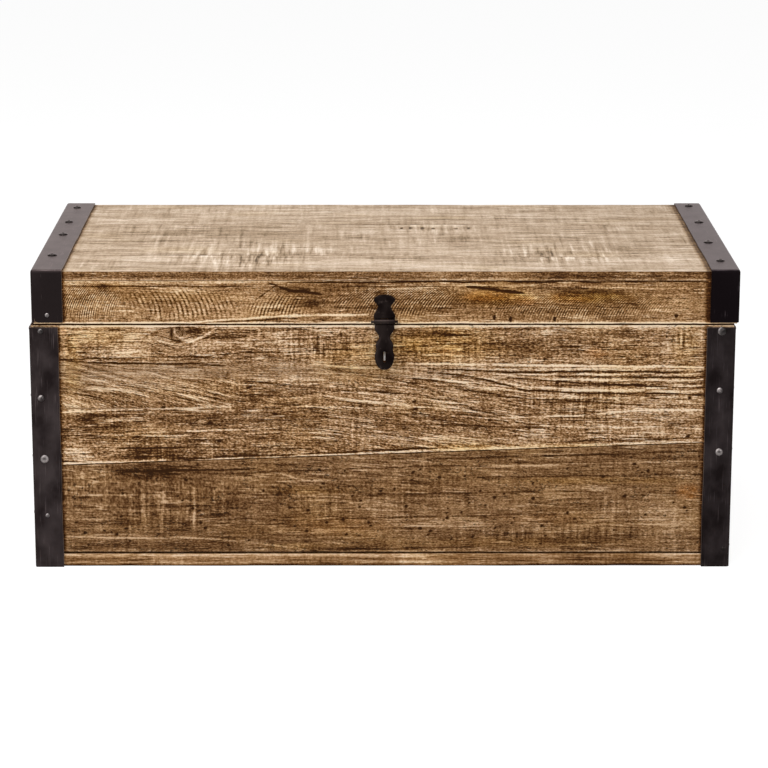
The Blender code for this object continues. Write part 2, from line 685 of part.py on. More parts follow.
def bend_points(centre, start, end, radius, steps):
    """Points of a quarter turn about a centre, from one direction to another."""
    return [centre + radius * (start * math.cos(math.pi / 2 * k / steps) + end * math.sin(math.pi / 2 * k / steps))
            for k in range(steps + 1)]


def staple_centre():
    return Vector((HASP_X, -HALF_DEPTH, HASP_AXIS.z - STAPLE_DISTANCE))


def make_staple(iron):
    centre = staple_centre()
    nose = centre - Y * (STAPLE_PROJECTION - STAPLE_BEND)
    root = centre + Y * STAPLE_DEPTH
    points = [root + Z * STAPLE_HALF_HEIGHT]
    points += bend_points(nose, Z, -Y, STAPLE_HALF_HEIGHT, 4)
    points += bend_points(nose, -Y, -Z, STAPLE_HALF_HEIGHT, 4)[1:]
    points.append(root - Z * STAPLE_HALF_HEIGHT)
    add_rod("staple", points, STAPLE_WIRE / 2, 2, iron, centre)


def add_staple_holes(bm):
    for side in (-1, 1):
        leg = staple_centre() + Z * STAPLE_HALF_HEIGHT * side
        add_cylinder(bm, STAPLE_WIRE / 2 + HOLE_CLEARANCE, leg - Y * STAPLE_WIRE,
                     leg + Y * (STAPLE_DEPTH + HOLE_CLEARANCE), 10)


def handle_axis_place(side):
    out = SIDES[side]
    return Vector((out * (HALF_LENGTH + HANDLE_STANDOFF), 0, HANDLE_HEIGHT))


def make_handle_plate(side, iron, holes):
    """A plate on the end of the case with two lugs, which carry the ends of the bail."""
    out = SIDES[side]
    axis = handle_axis_place(side)
    inner = HALF_LENGTH + SEAT_GAP
    low = Vector((min(out * inner, out * (inner + HANDLE_PLATE_THICKNESS)), -HANDLE_PLATE_WIDTH / 2,
                  HANDLE_HEIGHT - HANDLE_PLATE_HEIGHT / 2))
    high = Vector((max(out * inner, out * (inner + HANDLE_PLATE_THICKNESS)), HANDLE_PLATE_WIDTH / 2,
                   HANDLE_HEIGHT + HANDLE_PLATE_HEIGHT / 2))
    bm = bmesh.new()
    add_box(bm, low, high)
    ends = [edge for edge in bm.edges if abs((edge.verts[0].co - edge.verts[1].co).x) > 1e-4]
    bmesh.ops.bevel(bm, geom=ends, offset=HANDLE_PLATE_HEIGHT / 3, segments=4, profile=0.5, affect="EDGES",
                    material=-1)
    name = f"handle_{side}_plate"
    plate = add_object(name, bm, iron, Vector((out * inner, 0, HANDLE_HEIGHT)), smooth=35)

    # Each lug is a rounded ear, wider at its root
    radius = HANDLE_ROD_RADIUS + HOLE_CLEARANCE + HANDLE_LUG_WALL
    root = radius * 1.35
    lug_start = HANDLE_GRIP / 2 + HANDLE_STUB_BEND + RUNNING_GAP
    bm = bmesh.new()
    for end in (-1, 1):
        near = end * lug_start
        steps = 8
        outline = [Vector((out * (inner + HANDLE_PLATE_THICKNESS / 2), near, HANDLE_HEIGHT + root))]
        outline += [axis + Y * near + radius * (Z * math.cos(math.pi * k / steps)
                                                + X * out * math.sin(math.pi * k / steps))
                    for k in range(steps + 1)]
        outline.append(Vector((out * (inner + HANDLE_PLATE_THICKNESS / 2), near, HANDLE_HEIGHT - root)))
        add_prism(bm, outline, Y * end * HANDLE_LUG_THICKNESS)
    combine(plate, add_helper(f"{name}_lugs", bm, axis), "UNION")
    bm = bmesh.new()
    reach = Y * HANDLE_PLATE_WIDTH
    add_cylinder(bm, HANDLE_ROD_RADIUS + HOLE_CLEARANCE, axis - reach, axis + reach, 12)
    combine(plate, add_helper(f"{name}_bore", bm, axis), "DIFFERENCE")
    combine(plate, holes, "DIFFERENCE")


def make_bail(side, iron, axis):
    """The bail hangs from its two ends, which turn outwards through the lugs."""
    pivot = handle_axis_place(side)
    half = HANDLE_GRIP / 2
    end = half + HANDLE_STUB_BEND + RUNNING_GAP + HANDLE_LUG_THICKNESS + HANDLE_END
    points = [pivot - Y * end]
    points += bend_points(pivot - Y * (half + HANDLE_STUB_BEND) - Z * HANDLE_STUB_BEND, Z, Y,
                          HANDLE_STUB_BEND, 4)
    points += bend_points(pivot + Y * (HANDLE_BEND - half) - Z * (HANDLE_DROP - HANDLE_BEND), -Y, -Z,
                          HANDLE_BEND, 5)
    points += [Vector((point.x, -point.y, point.z)) for point in reversed(points)]
    add_rod(f"handle_{side}_bail", points, HANDLE_ROD_RADIUS, 2, iron, pivot, axis)


def build():
    clear_scene()
    timber = make_material("sawn_mango_timber", (0.42, 0.31, 0.19), 0.75, 0)
    lid_timber = make_material("limewashed_mango_timber", (0.55, 0.46, 0.34), 0.8, 0)
    iron = make_material("blackened_mild_steel", (0.045, 0.042, 0.045), 0.45, 0.8)
    nail_iron = make_material("worn_nail_steel", (0.13, 0.12, 0.12), 0.4, 0.9)
    forged = make_material("black_forged_iron", (0.03, 0.027, 0.028), 0.38, 0.8)

    lid_axis = make_axis("lid_axis", HINGE_AXIS)
    hasp_axis = make_axis("hasp_axis", HASP_AXIS, lid_axis)

    nail_mesh = make_nail_mesh(nail_iron)
    case_nails = Nails(nail_mesh)
    lid_nails = Nails(nail_mesh, lid_axis)
    drive_corner_nails(case_nails)
    drive_lid_nails(lid_nails)
    drive_hasp_nails(lid_nails)
    add_staple_holes(case_nails.holes)
    case_holes = add_helper("case_holes", case_nails.holes, Vector())
    lid_holes = add_helper("lid_holes", lid_nails.holes, HINGE_AXIS, lid_axis)

    make_case_boards(timber, case_holes)
    make_lid_boards(lid_timber, lid_holes, lid_axis)
    for face in FACES:
        for side in SIDES:
            make_corner_iron(f"{face}_{side}_corner_iron", face, side, iron, case_holes)
    for side in SIDES:
        make_lid_iron(f"lid_{side}_iron", side, iron, lid_holes, lid_axis)
    make_hinges(iron, case_holes, lid_holes, lid_axis)
    make_hasp(forged, lid_holes, lid_axis, hasp_axis)
    make_staple(forged)
    for side in SIDES:
        make_handle_plate(side, forged, case_holes)
        make_bail(side, forged, make_axis(f"handle_{side}_axis", handle_axis_place(side)))


build()
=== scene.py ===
import math
import random
import bmesh
import bpy
from mathutils import Matrix, Vector, noise


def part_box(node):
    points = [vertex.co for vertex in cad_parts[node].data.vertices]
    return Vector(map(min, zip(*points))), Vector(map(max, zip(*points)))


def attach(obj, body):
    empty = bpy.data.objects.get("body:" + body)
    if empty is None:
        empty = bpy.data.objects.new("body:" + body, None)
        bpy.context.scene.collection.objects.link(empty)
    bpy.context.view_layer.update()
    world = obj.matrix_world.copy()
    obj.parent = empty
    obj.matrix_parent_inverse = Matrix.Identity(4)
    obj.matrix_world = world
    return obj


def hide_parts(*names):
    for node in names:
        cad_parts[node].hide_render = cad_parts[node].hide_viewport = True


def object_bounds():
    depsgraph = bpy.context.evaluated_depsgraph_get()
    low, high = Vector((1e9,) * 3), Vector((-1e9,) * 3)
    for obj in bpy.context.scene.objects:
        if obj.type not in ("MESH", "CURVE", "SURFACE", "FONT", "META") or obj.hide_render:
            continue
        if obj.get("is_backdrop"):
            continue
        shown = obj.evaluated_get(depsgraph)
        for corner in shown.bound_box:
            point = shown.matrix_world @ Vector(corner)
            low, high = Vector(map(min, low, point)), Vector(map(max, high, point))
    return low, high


# A limewashed mango-wood trunk in blackened iron, photographed on white.
# Lengths are in millimetres, in the frame of the model, unless a line says otherwise.

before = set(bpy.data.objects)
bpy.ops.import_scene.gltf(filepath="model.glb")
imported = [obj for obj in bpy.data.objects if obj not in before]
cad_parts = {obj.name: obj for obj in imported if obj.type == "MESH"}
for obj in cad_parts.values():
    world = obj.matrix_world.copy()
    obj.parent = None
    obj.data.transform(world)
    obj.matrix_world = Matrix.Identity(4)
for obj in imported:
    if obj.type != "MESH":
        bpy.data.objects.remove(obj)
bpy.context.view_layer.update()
mm = 0.001


def cadBox(node):
    low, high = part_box(node)
    return low / mm, high / mm


def smoothStep(low, high, value):
    share = min(max((value - low) / (high - low), 0), 1)
    return share * share * (3 - 2 * share)


# Smooth noise from -1 to 1 whose cells are length by height. It is turned, so that the cells don't line up
# with the board and look woven
driftTurn, driftApart = (0.8, 0.6), 7.31


def drift(u, v, length, height, seed):
    x, y = u / length, v / height
    cosine, sine = driftTurn
    return noise.noise(Vector((cosine * x + sine * y, cosine * y - sine * x, seed * driftApart)))


def linear(hexColour):
    values = [int(hexColour[k:k + 2], 16) / 255 for k in (0, 2, 4)]
    return [v / 12.92 if v < 0.04045 else ((v + 0.055) / 1.055) ** 2.4 for v in values] + [1]


def addNode(tree, kind, inputs=None, **settings):
    node = tree.nodes.new(kind)
    for name, value in settings.items():
        setattr(node, name, value)
    for key, value in (inputs or {}).items():
        socket = node.inputs[key]
        if isinstance(value, bpy.types.NodeSocket):
            tree.links.new(value, socket)
        else:
            socket.default_value = value
    return node


def attribute(tree, name, output="Fac"):
    return addNode(tree, "ShaderNodeAttribute", attribute_name=name).outputs[output]


def reckon(tree, operation, first, second=0.0, clamp=False):
    inputs = {0: first, 1: second}
    return addNode(tree, "ShaderNodeMath", inputs, operation=operation, use_clamp=clamp).outputs[0]


# A value moved from a span to the span from least to most, and held inside it
def ranged(tree, value, span, least=0.0, most=1.0):
    inputs = {0: value, 1: span[0], 2: span[1], 3: least, 4: most}
    return addNode(tree, "ShaderNodeMapRange", inputs).outputs[0]


def mixColours(tree, share, first, second, blend="MIX"):
    inputs = {0: share, 6: first, 7: second}
    return addNode(tree, "ShaderNodeMix", inputs, data_type="RGBA", blend_type=blend).outputs[2]


def newMaterial(name, **shader):
    material = bpy.data.materials.new(name)
    material.use_nodes = True
    tree = material.node_tree
    principled = tree.nodes["Principled BSDF"]
    for key, value in shader.items():
        principled.inputs[key.replace("_", " ")].default_value = value
    return material, tree, principled


def finishPiece(name, bm, material, body, replaced=(), smoothAngle=40):
    mesh = bpy.data.meshes.new(name)
    bm.to_mesh(mesh)
    bm.free()
    mesh.materials.append(material)
    mesh.shade_smooth()
    mesh.set_sharp_from_angle(angle=math.radians(smoothAngle))
    piece = bpy.data.objects.new(name, mesh)
    bpy.context.collection.objects.link(piece)
    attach(piece, body)
    if replaced:
        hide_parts(*replaced)
    return piece


# Timber

print("timber finishes")

# Mango boards, circular-sawn, wire-brushed and limewashed: pale ridges over brown valleys, open pores.
# A layer is the length and width of its cells, its detail and its weight. The sheen is low, because
# the wood is dry and chalky, and its valleys would turn grey under more.
honeyRamp = (
    (0.0, "321b08"), (0.2, "58381b"), (0.4, "805c38"), (0.55, "a27d57"), (0.75, "c9a57f"), (1.0, "ead3b6"),
)
umberRamp = (
    (0.0, "2f1a07"), (0.2, "4d3017"), (0.4, "6b4b2d"), (0.55, "81603f"), (0.75, "9e7b56"), (1.0, "c7a785"),
)
limedRamp = (
    (0.0, "4d3a26"), (0.22, "806a50"), (0.42, "a28b72"), (0.58, "b9a38c"), (0.78, "cfbba6"), (1.0, "e8dac9"),
)
timberLooks = {
    "front": {
        "name": "brushed limewashed mango, upper", "pores": 0.7, "pore": "22150c",
        "ramp": honeyRamp, "comb": (4.5, 50, 0.5), "threads": 0.6, "arcs": 0.3, "sheen": 0.05,
        "layers": ((26, 1.3, 2, 1.3), (3.6, 1.8, 2, 1.9), (90, 3.0, 3, 1.1), (280, 30, 2, 0.25)),
    },
    "lower": {
        "name": "brushed limewashed mango, lower", "pores": 0.8, "pore": "1c120a",
        "ramp": umberRamp, "comb": (6, 60, 0.4), "threads": 0.45, "arcs": 0.3, "sheen": 0.05,
        "layers": ((30, 1.3, 2, 1.0), (3.4, 1.8, 2, 1.45), (90, 3.2, 3, 0.7), (300, 30, 2, 0.25)),
    },
    "rail": {
        "name": "brushed limewashed mango, lid rails", "pores": 0.6, "pore": "2a1a0d",
        "ramp": honeyRamp, "comb": (3.2, 12, 0.4), "threads": 0.4, "arcs": 0.7, "sheen": 0.05,
        "layers": ((24, 1.2, 2, 0.7), (3.0, 1.7, 2, 1.3), (70, 3.0, 3, 0.6), (220, 30, 2, 0.3)),
    },
    "edge": {
        "name": "planed mango, edge of the bottom", "pores": 0.3, "pore": "2a1a0d",
        "ramp": honeyRamp, "comb": (4, 30, 0.25), "threads": 0.3, "arcs": 0.0, "sheen": 0.05,
        "layers": ((40, 1.6, 2, 0.8), (4, 2.2, 2, 0.7), (120, 5.0, 3, 0.9), (260, 60, 2, 0.4)),
    },
    "top": {
        "name": "sawn limewashed mango, lid top", "pores": 0.3, "pore": "4a3826",
        "ramp": limedRamp, "comb": (7.5, 120, 0.45), "threads": 0.3, "arcs": 0.25, "sheen": 0.2,
        "layers": ((40, 2.6, 2, 0.7), (110, 9.0, 3, 0.9), (320, 40, 2, 0.5), (4, 6, 2, 0.5)),
    },
}
# What all of them share. Cells are (length, width, detail), and the other pairs are spans of the noise in
# which a mark starts and ends to show.
woodDetail = {
    "roughness": 0.72, "turnAxis": (1.0, 0.7, 0.9), "turn": 0.9, "cellRoughness": 0.62,
    "paleTeeth": (0.53, 0.75), "darkTeeth": (0.47, 0.25),
    "paleThreads": (130, 5), "darkThreads": (90, 4.2), "threadSpan": (0, 0.035), "threadShown": (0.45, 0.6),
    "arcMiddle": 0.64, "arcCells": (14, 12, 1), "arcShown": (0.35, 0.6), "arcStrength": (0.3, 1.5),
    "poreCells": (4.2, 2.0, 1), "poreSpan": (0.58, 0.68), "openCells": (55, 16, 1), "openSpan": (0.42, 0.6),
    "bump": 0.6, "bumpDepth": 0.8,
}
# What the lime leaves of the wood's own yellow, and the stain of iron in damp wood
warmTint, rustTint = "fff0a4", "ffcb70"
vertexScalars = ("tone", "warm", "rust", "comb", "phase", "saw")


def sawnTimber(look):
    material, tree, principled = newMaterial(
        look["name"], Roughness=woodDetail["roughness"], Specular_IOR_Level=look["sheen"])
    grain = attribute(tree, "grain", "Vector")
    tone, warm, rust, comb, phase, saw = [attribute(tree, key) for key in vertexScalars]

    def cells(length, width, detail):
        scaled = addNode(tree, "ShaderNodeVectorMath", {0: grain, 1: (1 / length, 1 / width, 1 / width)},
                         operation="MULTIPLY")
        turn = {"Vector": scaled.outputs[0], "Axis": woodDetail["turnAxis"], "Angle": woodDetail["turn"]}
        turned = addNode(tree, "ShaderNodeVectorRotate", turn, rotation_type="AXIS_ANGLE")
        inputs = {"Vector": turned.outputs[0], "Scale": 1.0, "Detail": float(detail),
                  "Roughness": woodDetail["cellRoughness"]}
        return addNode(tree, "ShaderNodeTexNoise", inputs).outputs["Fac"]

    def addWeighed(total, value, weight, middle=0.5):
        inputs = {0: value, 1: weight, 2: reckon(tree, "SUBTRACT", total, middle * weight)}
        return addNode(tree, "ShaderNodeMath", inputs, operation="MULTIPLY_ADD").outputs[0]

    def threads(length, width):
        away = reckon(tree, "ABSOLUTE", reckon(tree, "SUBTRACT", cells(length, width, 2), 0.5))
        shown = ranged(tree, cells(length / 2, width * 4, 1), woodDetail["threadShown"])
        return reckon(tree, "MULTIPLY", ranged(tree, away, woodDetail["threadSpan"], 1.0, 0.0), shown)

    total = reckon(tree, "ADD", tone, 0.5)
    for length, width, detail, weight in look["layers"]:
        total = addWeighed(total, cells(length, width, detail), weight)
    combLength, combWidth, combWeight = look["comb"]
    teeth = cells(combLength, combWidth, 2)
    paleTeeth, darkTeeth = [ranged(tree, teeth, woodDetail[key]) for key in ("paleTeeth", "darkTeeth")]
    combed = reckon(tree, "MULTIPLY", comb, reckon(tree, "SUBTRACT", paleTeeth, darkTeeth))
    total = addWeighed(total, combed, combWeight, 0.0)
    total = addWeighed(total, threads(*woodDetail["paleThreads"]), look["threads"], 0.0)
    total = addWeighed(total, threads(*woodDetail["darkThreads"]), -look["threads"], 0.0)
    wave = reckon(tree, "ABSOLUTE", reckon(tree, "SINE", reckon(tree, "MULTIPLY", phase, math.pi)))
    arcs = reckon(tree, "MULTIPLY", reckon(tree, "SUBTRACT", wave, woodDetail["arcMiddle"]), saw)
    broken = ranged(tree, cells(*woodDetail["arcCells"]), woodDetail["arcShown"], *woodDetail["arcStrength"])
    total = addWeighed(total, reckon(tree, "MULTIPLY", arcs, broken), look["arcs"], 0.0)
    ramp = addNode(tree, "ShaderNodeValToRGB", {0: total})
    stops = ramp.color_ramp.elements
    while len(stops) < len(look["ramp"]):
        stops.new(0.5)
    for stop, (place, colour) in zip(stops, look["ramp"]):
        stop.position = place
        stop.color = linear(colour)
    colour = mixColours(tree, warm, ramp.outputs[0], linear(warmTint), "MULTIPLY")
    colour = mixColours(tree, rust, colour, linear(rustTint), "MULTIPLY")
    openPores = ranged(tree, cells(*woodDetail["openCells"]), woodDetail["openSpan"], 0.0, look["pores"])
    pores = ranged(tree, cells(*woodDetail["poreCells"]), woodDetail["poreSpan"])
    pores = reckon(tree, "MULTIPLY", openPores, pores)
    tree.links.new(mixColours(tree, pores, colour, linear(look["pore"])), principled.inputs["Base Color"])
    inputs = {"Strength": woodDetail["bump"], "Distance": woodDetail["bumpDepth"] * mm,
              "Height": reckon(tree, "SUBTRACT", total, pores)}
    bump = addNode(tree, "ShaderNodeBump", inputs)
    tree.links.new(bump.outputs[0], principled.inputs["Normal"])
    return material


timber = {key: sawnTimber(look) for key, look in timberLooks.items()}

# The directions of a board's length and width, and the way its face looks
boardFaces = {
    face: {"along": Vector(along), "across": Vector(across), "out": Vector(out)}
    for face, along, across, out in (
        ("front", (1, 0, 0), (0, 0, 1), (0, -1, 0)), ("back", (1, 0, 0), (0, 0, 1), (0, 1, 0)),
        ("left", (0, 1, 0), (0, 0, 1), (-1, 0, 0)), ("right", (0, 1, 0), (0, 0, 1), (1, 0, 0)),
        ("top", (1, 0, 0), (0, 1, 0), (0, 0, 1)), ("under", (1, 0, 0), (0, 1, 0), (0, 0, -1)),
    )
}
boardShape = {
    "arris": 1.3, "sideRows": 8, "carve": 0.45, "ragged": 0.7, "endReach": 3, "sideFade": 2.5,
    "sideFacing": 0.6, "wornLeast": 0.82, "grainApart": (731, 57),
}
plainJoint = {"pale": 0.15, "dark": -0.5, "band": 3.6, "groove": 0.9}
plainBack = {"tone": -0.05, "warm": 0.1, "rust": 0, "comb": 0.4, "phase": 0, "saw": 0, "hollow": 0}
# How each kind of mark wanders: the length and height of the noise's cells, its weight, and what it adds
# to the board's seed
wanders = {
    "bend": (330, 90, 5, 0), "ripple": (90, 30, 1.6, 1), "cloud": (260, 26, 0.08, 2),
    "fleck": (70, 40, 0.03, 5), "warmth": (120, 40, 0.35, 6), "combed": (110, 60, 0.6, 9),
    "knot": (6, 4, 0.2, 7), "stains": (12, 4, 0.5, 8), "pales": (30, 4, 0.3, 8), "warms": (25, 8, 0.4, 10),
    "rusts": (12, 5, 0.7, 10), "valley": (60, 4, 0.65, 11), "furrow": (22, 2.5, 0.3, 12),
    "joint": (45, 10, 0.8, 13), "ragged": (38, 500, 1, 3), "splinters": (9, 500, 0.5, 4),
    "sweep": (60, 40, 0.3, 20), "line": (45, 10, 1.2, 31), "lineKink": (13, 10, 0.5, 32),
    "lineTone": (25, 5, 0.5, 33), "scratch": (30, 10, 1.5, 35),
}


def wander(kind, u, v, seed=0):
    length, height, weight, shift = wanders[kind]
    return weight * drift(u, v, length, height, seed + shift)


# Low and high edge of a tapered board at its two ends, its length and its thickness
def boardOutline(node, face):
    points = [vert.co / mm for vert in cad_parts[node].data.vertices]
    spans = {key: [point.dot(face[key]) for point in points] for key in ("along", "across", "out")}
    start, end = min(spans["along"]), max(spans["along"])
    places = list(zip(spans["along"], spans["across"]))
    near = [v for u, v in places if u < start + boardShape["endReach"]]
    far = [v for u, v in places if u > end - boardShape["endReach"]]
    return {"start": start, "end": end, "near": (min(near), max(near)), "far": (min(far), max(far)),
            "face": max(spans["out"]), "back": min(spans["out"])}


# How far in and how far down the round of an arris lies at each of some angles
def arrisArc(radius, angles):
    turns = [math.radians(angle) for angle in angles]
    return [(radius * (1 - math.sin(turn)), radius * (1 - math.cos(turn))) for turn in turns]


# Places across a face with a rounded arris at both ends, each with how far it lies below the face
def stations(length, step, radius):
    arc = arrisArc(radius, (45, 22.5, 0))
    count = max(2, round((length - 2 * radius) / step))
    middle = [(radius + (length - 2 * radius) * k / count, 0) for k in range(1, count)]
    return arc + middle + [(length - place, drop) for place, drop in reversed(arc)]


# Depths of the rows round a board's edge, each with how far it lies in from the edge
def sideStations(thickness, rows, radius):
    arc = [(depth, inset) for inset, depth in arrisArc(radius, (45, 67.5, 90))]
    middle = [(radius + (thickness - 2 * radius) * k / (rows - 4), 0) for k in range(1, rows - 4)]
    return arc[1:] + middle + [(thickness - depth, inset) for depth, inset in reversed(arc)]


# A board as a worked grid of its face, with rounded arrises, plain sides and a plain back.
# The step is the size of the grid's cells, and sideMaterial is for sides that show another cut of the wood.
def makeBoard(node, faceName, materialName, body, step, marks=None, seed=1, sideMaterial=None):
    face = boardFaces[faceName]
    edge = boardOutline(node, face)
    marks = marks or {}
    radius = marks.get("arris", boardShape["arris"])
    length = edge["end"] - edge["start"]
    width = max(edge["near"][1] - edge["near"][0], edge["far"][1] - edge["far"][0])
    columns = stations(length, step[0], radius)
    rows = stations(width, step[1], radius)
    sides = sideStations(edge["face"] - edge["back"], boardShape["sideRows"], radius)
    surface = edge["face"] + marks.get("proud", 0)
    apart = boardShape["grainApart"]

    bm = bmesh.new()
    bmesh.ops.create_grid(bm, x_segments=len(columns) - 1, y_segments=len(rows) - 1, size=1)
    made = bmesh.ops.extrude_face_region(bm, geom=bm.faces[:], use_keep_orig=True)
    deep = [part for part in made["geom"] if isinstance(part, bmesh.types.BMVert)]
    bmesh.ops.translate(bm, verts=deep, vec=(0, 0, -1))
    upright = [part for part in bm.edges if abs(part.verts[0].co.z - part.verts[1].co.z) > 0.5]
    bmesh.ops.dissolve_faces(bm, faces=[part for part in bm.faces if all(v.co.z < -0.5 for v in part.verts)])
    bmesh.ops.subdivide_edges(bm, edges=upright, cuts=boardShape["sideRows"] - 1)

    grainLayer = bm.verts.layers.float_vector.new("grain")
    layers = {key: bm.verts.layers.float.new(key) for key in vertexScalars}
    for vert in bm.verts:
        column = round((vert.co.x + 1) / 2 * (len(columns) - 1))
        row = round((vert.co.y + 1) / 2 * (len(rows) - 1))
        level = round(-vert.co.z * boardShape["sideRows"])
        place, depth = columns[column]
        share = rows[row][0] / width
        u = edge["start"] + place
        end = place / length
        low = edge["near"][0] * (1 - end) + edge["far"][0] * end
        high = edge["near"][1] * (1 - end) + edge["far"][1] * end
        v = low + (high - low) * share
        depth = max(depth, rows[row][1])
        if level:
            depth, inset = sides[level - 1]
            u = edge["start"] + {0: inset, len(columns) - 1: length - inset}.get(column, place)
            v += inset if row == 0 else -inset if row == len(rows) - 1 else 0
        look = timberMarks(marks, u, v, seed) if level < boardShape["sideRows"] else dict(plainBack, grain=v)
        border = min(v - low, high - v)
        # Joint: dark sides and groove, partly grime and painted shade; pale band, partly wear and painted
        # highlight
        joint = marks.get("lowJoint" if share < 0.5 else "highJoint", plainJoint)
        if level and sideMaterial:
            look["tone"] += sideTone(marks, depth)
        elif 0 < level < boardShape["sideRows"]:
            look["tone"] += joint["dark"] * math.exp(-max(0, depth - radius) / boardShape["sideFade"])
        elif border < joint["groove"]:
            look["tone"] += joint["dark"]
        elif not level:
            wornAndLit = joint["pale"] * (boardShape["wornLeast"] + wander("joint", u, 0, seed))
            look["tone"] += wornAndLit * (1 - smoothStep(0.4 * joint["band"], joint["band"], border))
        if border < radius * 2:
            ragged = max(0, wander("ragged", u, v, seed) + wander("splinters", u, v, seed))
            v += boardShape["ragged"] * ragged * (1 if share < 0.5 else -1)
        carve = 0 if level else boardShape["carve"] * look["hollow"]
        vert.co = (face["along"] * u + face["across"] * v + face["out"] * (surface - depth - carve)) * mm
        vert[grainLayer] = (u + seed * apart[0], look["grain"] + seed * apart[1], depth)
        for key, layer in layers.items():
            vert[layer] = look[key]
    bmesh.ops.recalc_face_normals(bm, faces=bm.faces)
    if sideMaterial:
        for part in bm.faces:
            part.material_index = int(part.normal.dot(face["out"]) < boardShape["sideFacing"])
    piece = finishPiece(node + "_timber", bm, timber[materialName], body, [node], smoothAngle=60)
    if sideMaterial:
        piece.data.materials.append(timber[sideMaterial])
    # The back is one large face, which would be lit in folds if it were smooth
    for part in piece.data.polygons:
        part.use_smooth = len(part.vertices) < 5
    return piece


# Tone of a board's edge at a depth below its face, from bands (depth, half width, tone)
def sideTone(marks, depth):
    tone = marks.get("side", 0)
    for middle, half, strength in marks.get("sideBands", ()):
        tone += strength * math.exp(-((depth - middle) / half) ** 2)
    return tone


# How marks fade: where an oval starts to, how far a line or a scratch reaches, how fast a line swells from
# its ends, and what pits, knots and the irons do; beside the irons the wood is darker and rustier, partly
# iron stain and partly painted shade along their raised edges
markShape = {
    "ovalFade": 0.3, "reach": 3, "lineSwell": 6, "lineCore": 0.4, "lineSoft": 0.8, "scratchCore": 0.2,
    "scratchHalf": 0.5, "scratchSoft": 1.5, "scratchSwell": 5, "combLeast": 0.25, "hollow": 0.5,
    "knotRings": 3, "knotRim": (0.7, 0.25), "knotSwell": (1.8, 2.5), "pitReach": 3, "pitTone": 2.4,
    "pitDepth": 2, "ironReach": 3, "ironStainAndShade": 0.5, "ironRust": 0.25, "sawDepth": 0.3,
}
# The least strength of each kind of oval mark, before it wanders
ovalLeast = {"stains": 0.85, "pales": 0.9, "warms": 0.9, "rusts": 0.8}


# 1 in the middle of an oval mark (u, v, half length, half height), 0 at its edge and beyond
def oval(u, v, mark):
    reach = math.hypot((u - mark[0]) / mark[2], (v - mark[1]) / mark[3])
    return 1 - smoothStep(markShape["ovalFade"], 1.0, reach)


# The sum of a board's oval marks of one kind at a place
def ovals(marks, kind, u, v, seed):
    found = [mark[4] * oval(u, v, mark) for mark in marks.get(kind, ())]
    return sum(found) * (ovalLeast[kind] + wander(kind, u, v, seed)) if any(found) else 0


# 1 on a line (points, width, tone) that wanders a little and tapers to its ends, 0 beside it.
# The points are u and v by turns.
def stroke(u, v, line):
    points, width = line[:2]
    start, end = points[0], points[-2]
    if not start < u < end:
        return 0
    after = next(k for k in range(2, len(points), 2) if u <= points[k])
    u0, v0, u1, v1 = points[after - 2:after + 2]
    middle = v0 + (v1 - v0) * (u - u0) / (u1 - u0)
    if abs(v - middle) > width + markShape["reach"]:
        return 0
    along = (u - start) / (end - start)
    swell = markShape["lineSwell"]
    half = width / 2 * math.sqrt(min(1.0, swell * along, swell * (1 - along)))
    away = abs(v - middle - wander("line", u, middle) - wander("lineKink", u, middle))
    near = 1 - smoothStep(half * markShape["lineCore"], half + markShape["lineSoft"], away)
    return near * (1 + wander("lineTone", u, middle))


# 1 on an upright scratch (u, low, high, width, tone), 0 beside it
def scratch(u, v, mark):
    place, low, high, width = mark[:4]
    if not low < v < high or abs(u - place) > width + markShape["reach"]:
        return 0
    share = (v - low) / (high - low)
    away = abs(u - place - wander("scratch", v, place))
    core, edge = width * markShape["scratchCore"], width * markShape["scratchHalf"] + markShape["scratchSoft"]
    swell = markShape["scratchSwell"]
    return (1 - smoothStep(core, edge, away)) * min(1, swell * share, swell * (1 - share))


# How far the grain has sunk at a place of a fan, whose fibres slope down to the right and level out
def fanShift(u, v, fan):
    slope, anchor, length, low, lowSoft, high, highSoft = fan
    rise = smoothStep(low - lowSoft, low, v) * (1 - smoothStep(high - highSoft, high, v))
    return slope * rise * min(max(anchor - u, 0), length)


# Turns and strength of the arcs left by a circular blade that moved along the board
def sawArcs(u, v, mark, seed):
    side, radius, centre, pitch, strength, area = mark
    bend = side * math.sqrt(max(1, radius ** 2 - (v - centre) ** 2))
    return (u - bend) / pitch + wander("sweep", u, v, seed), strength * oval(u, v, area)


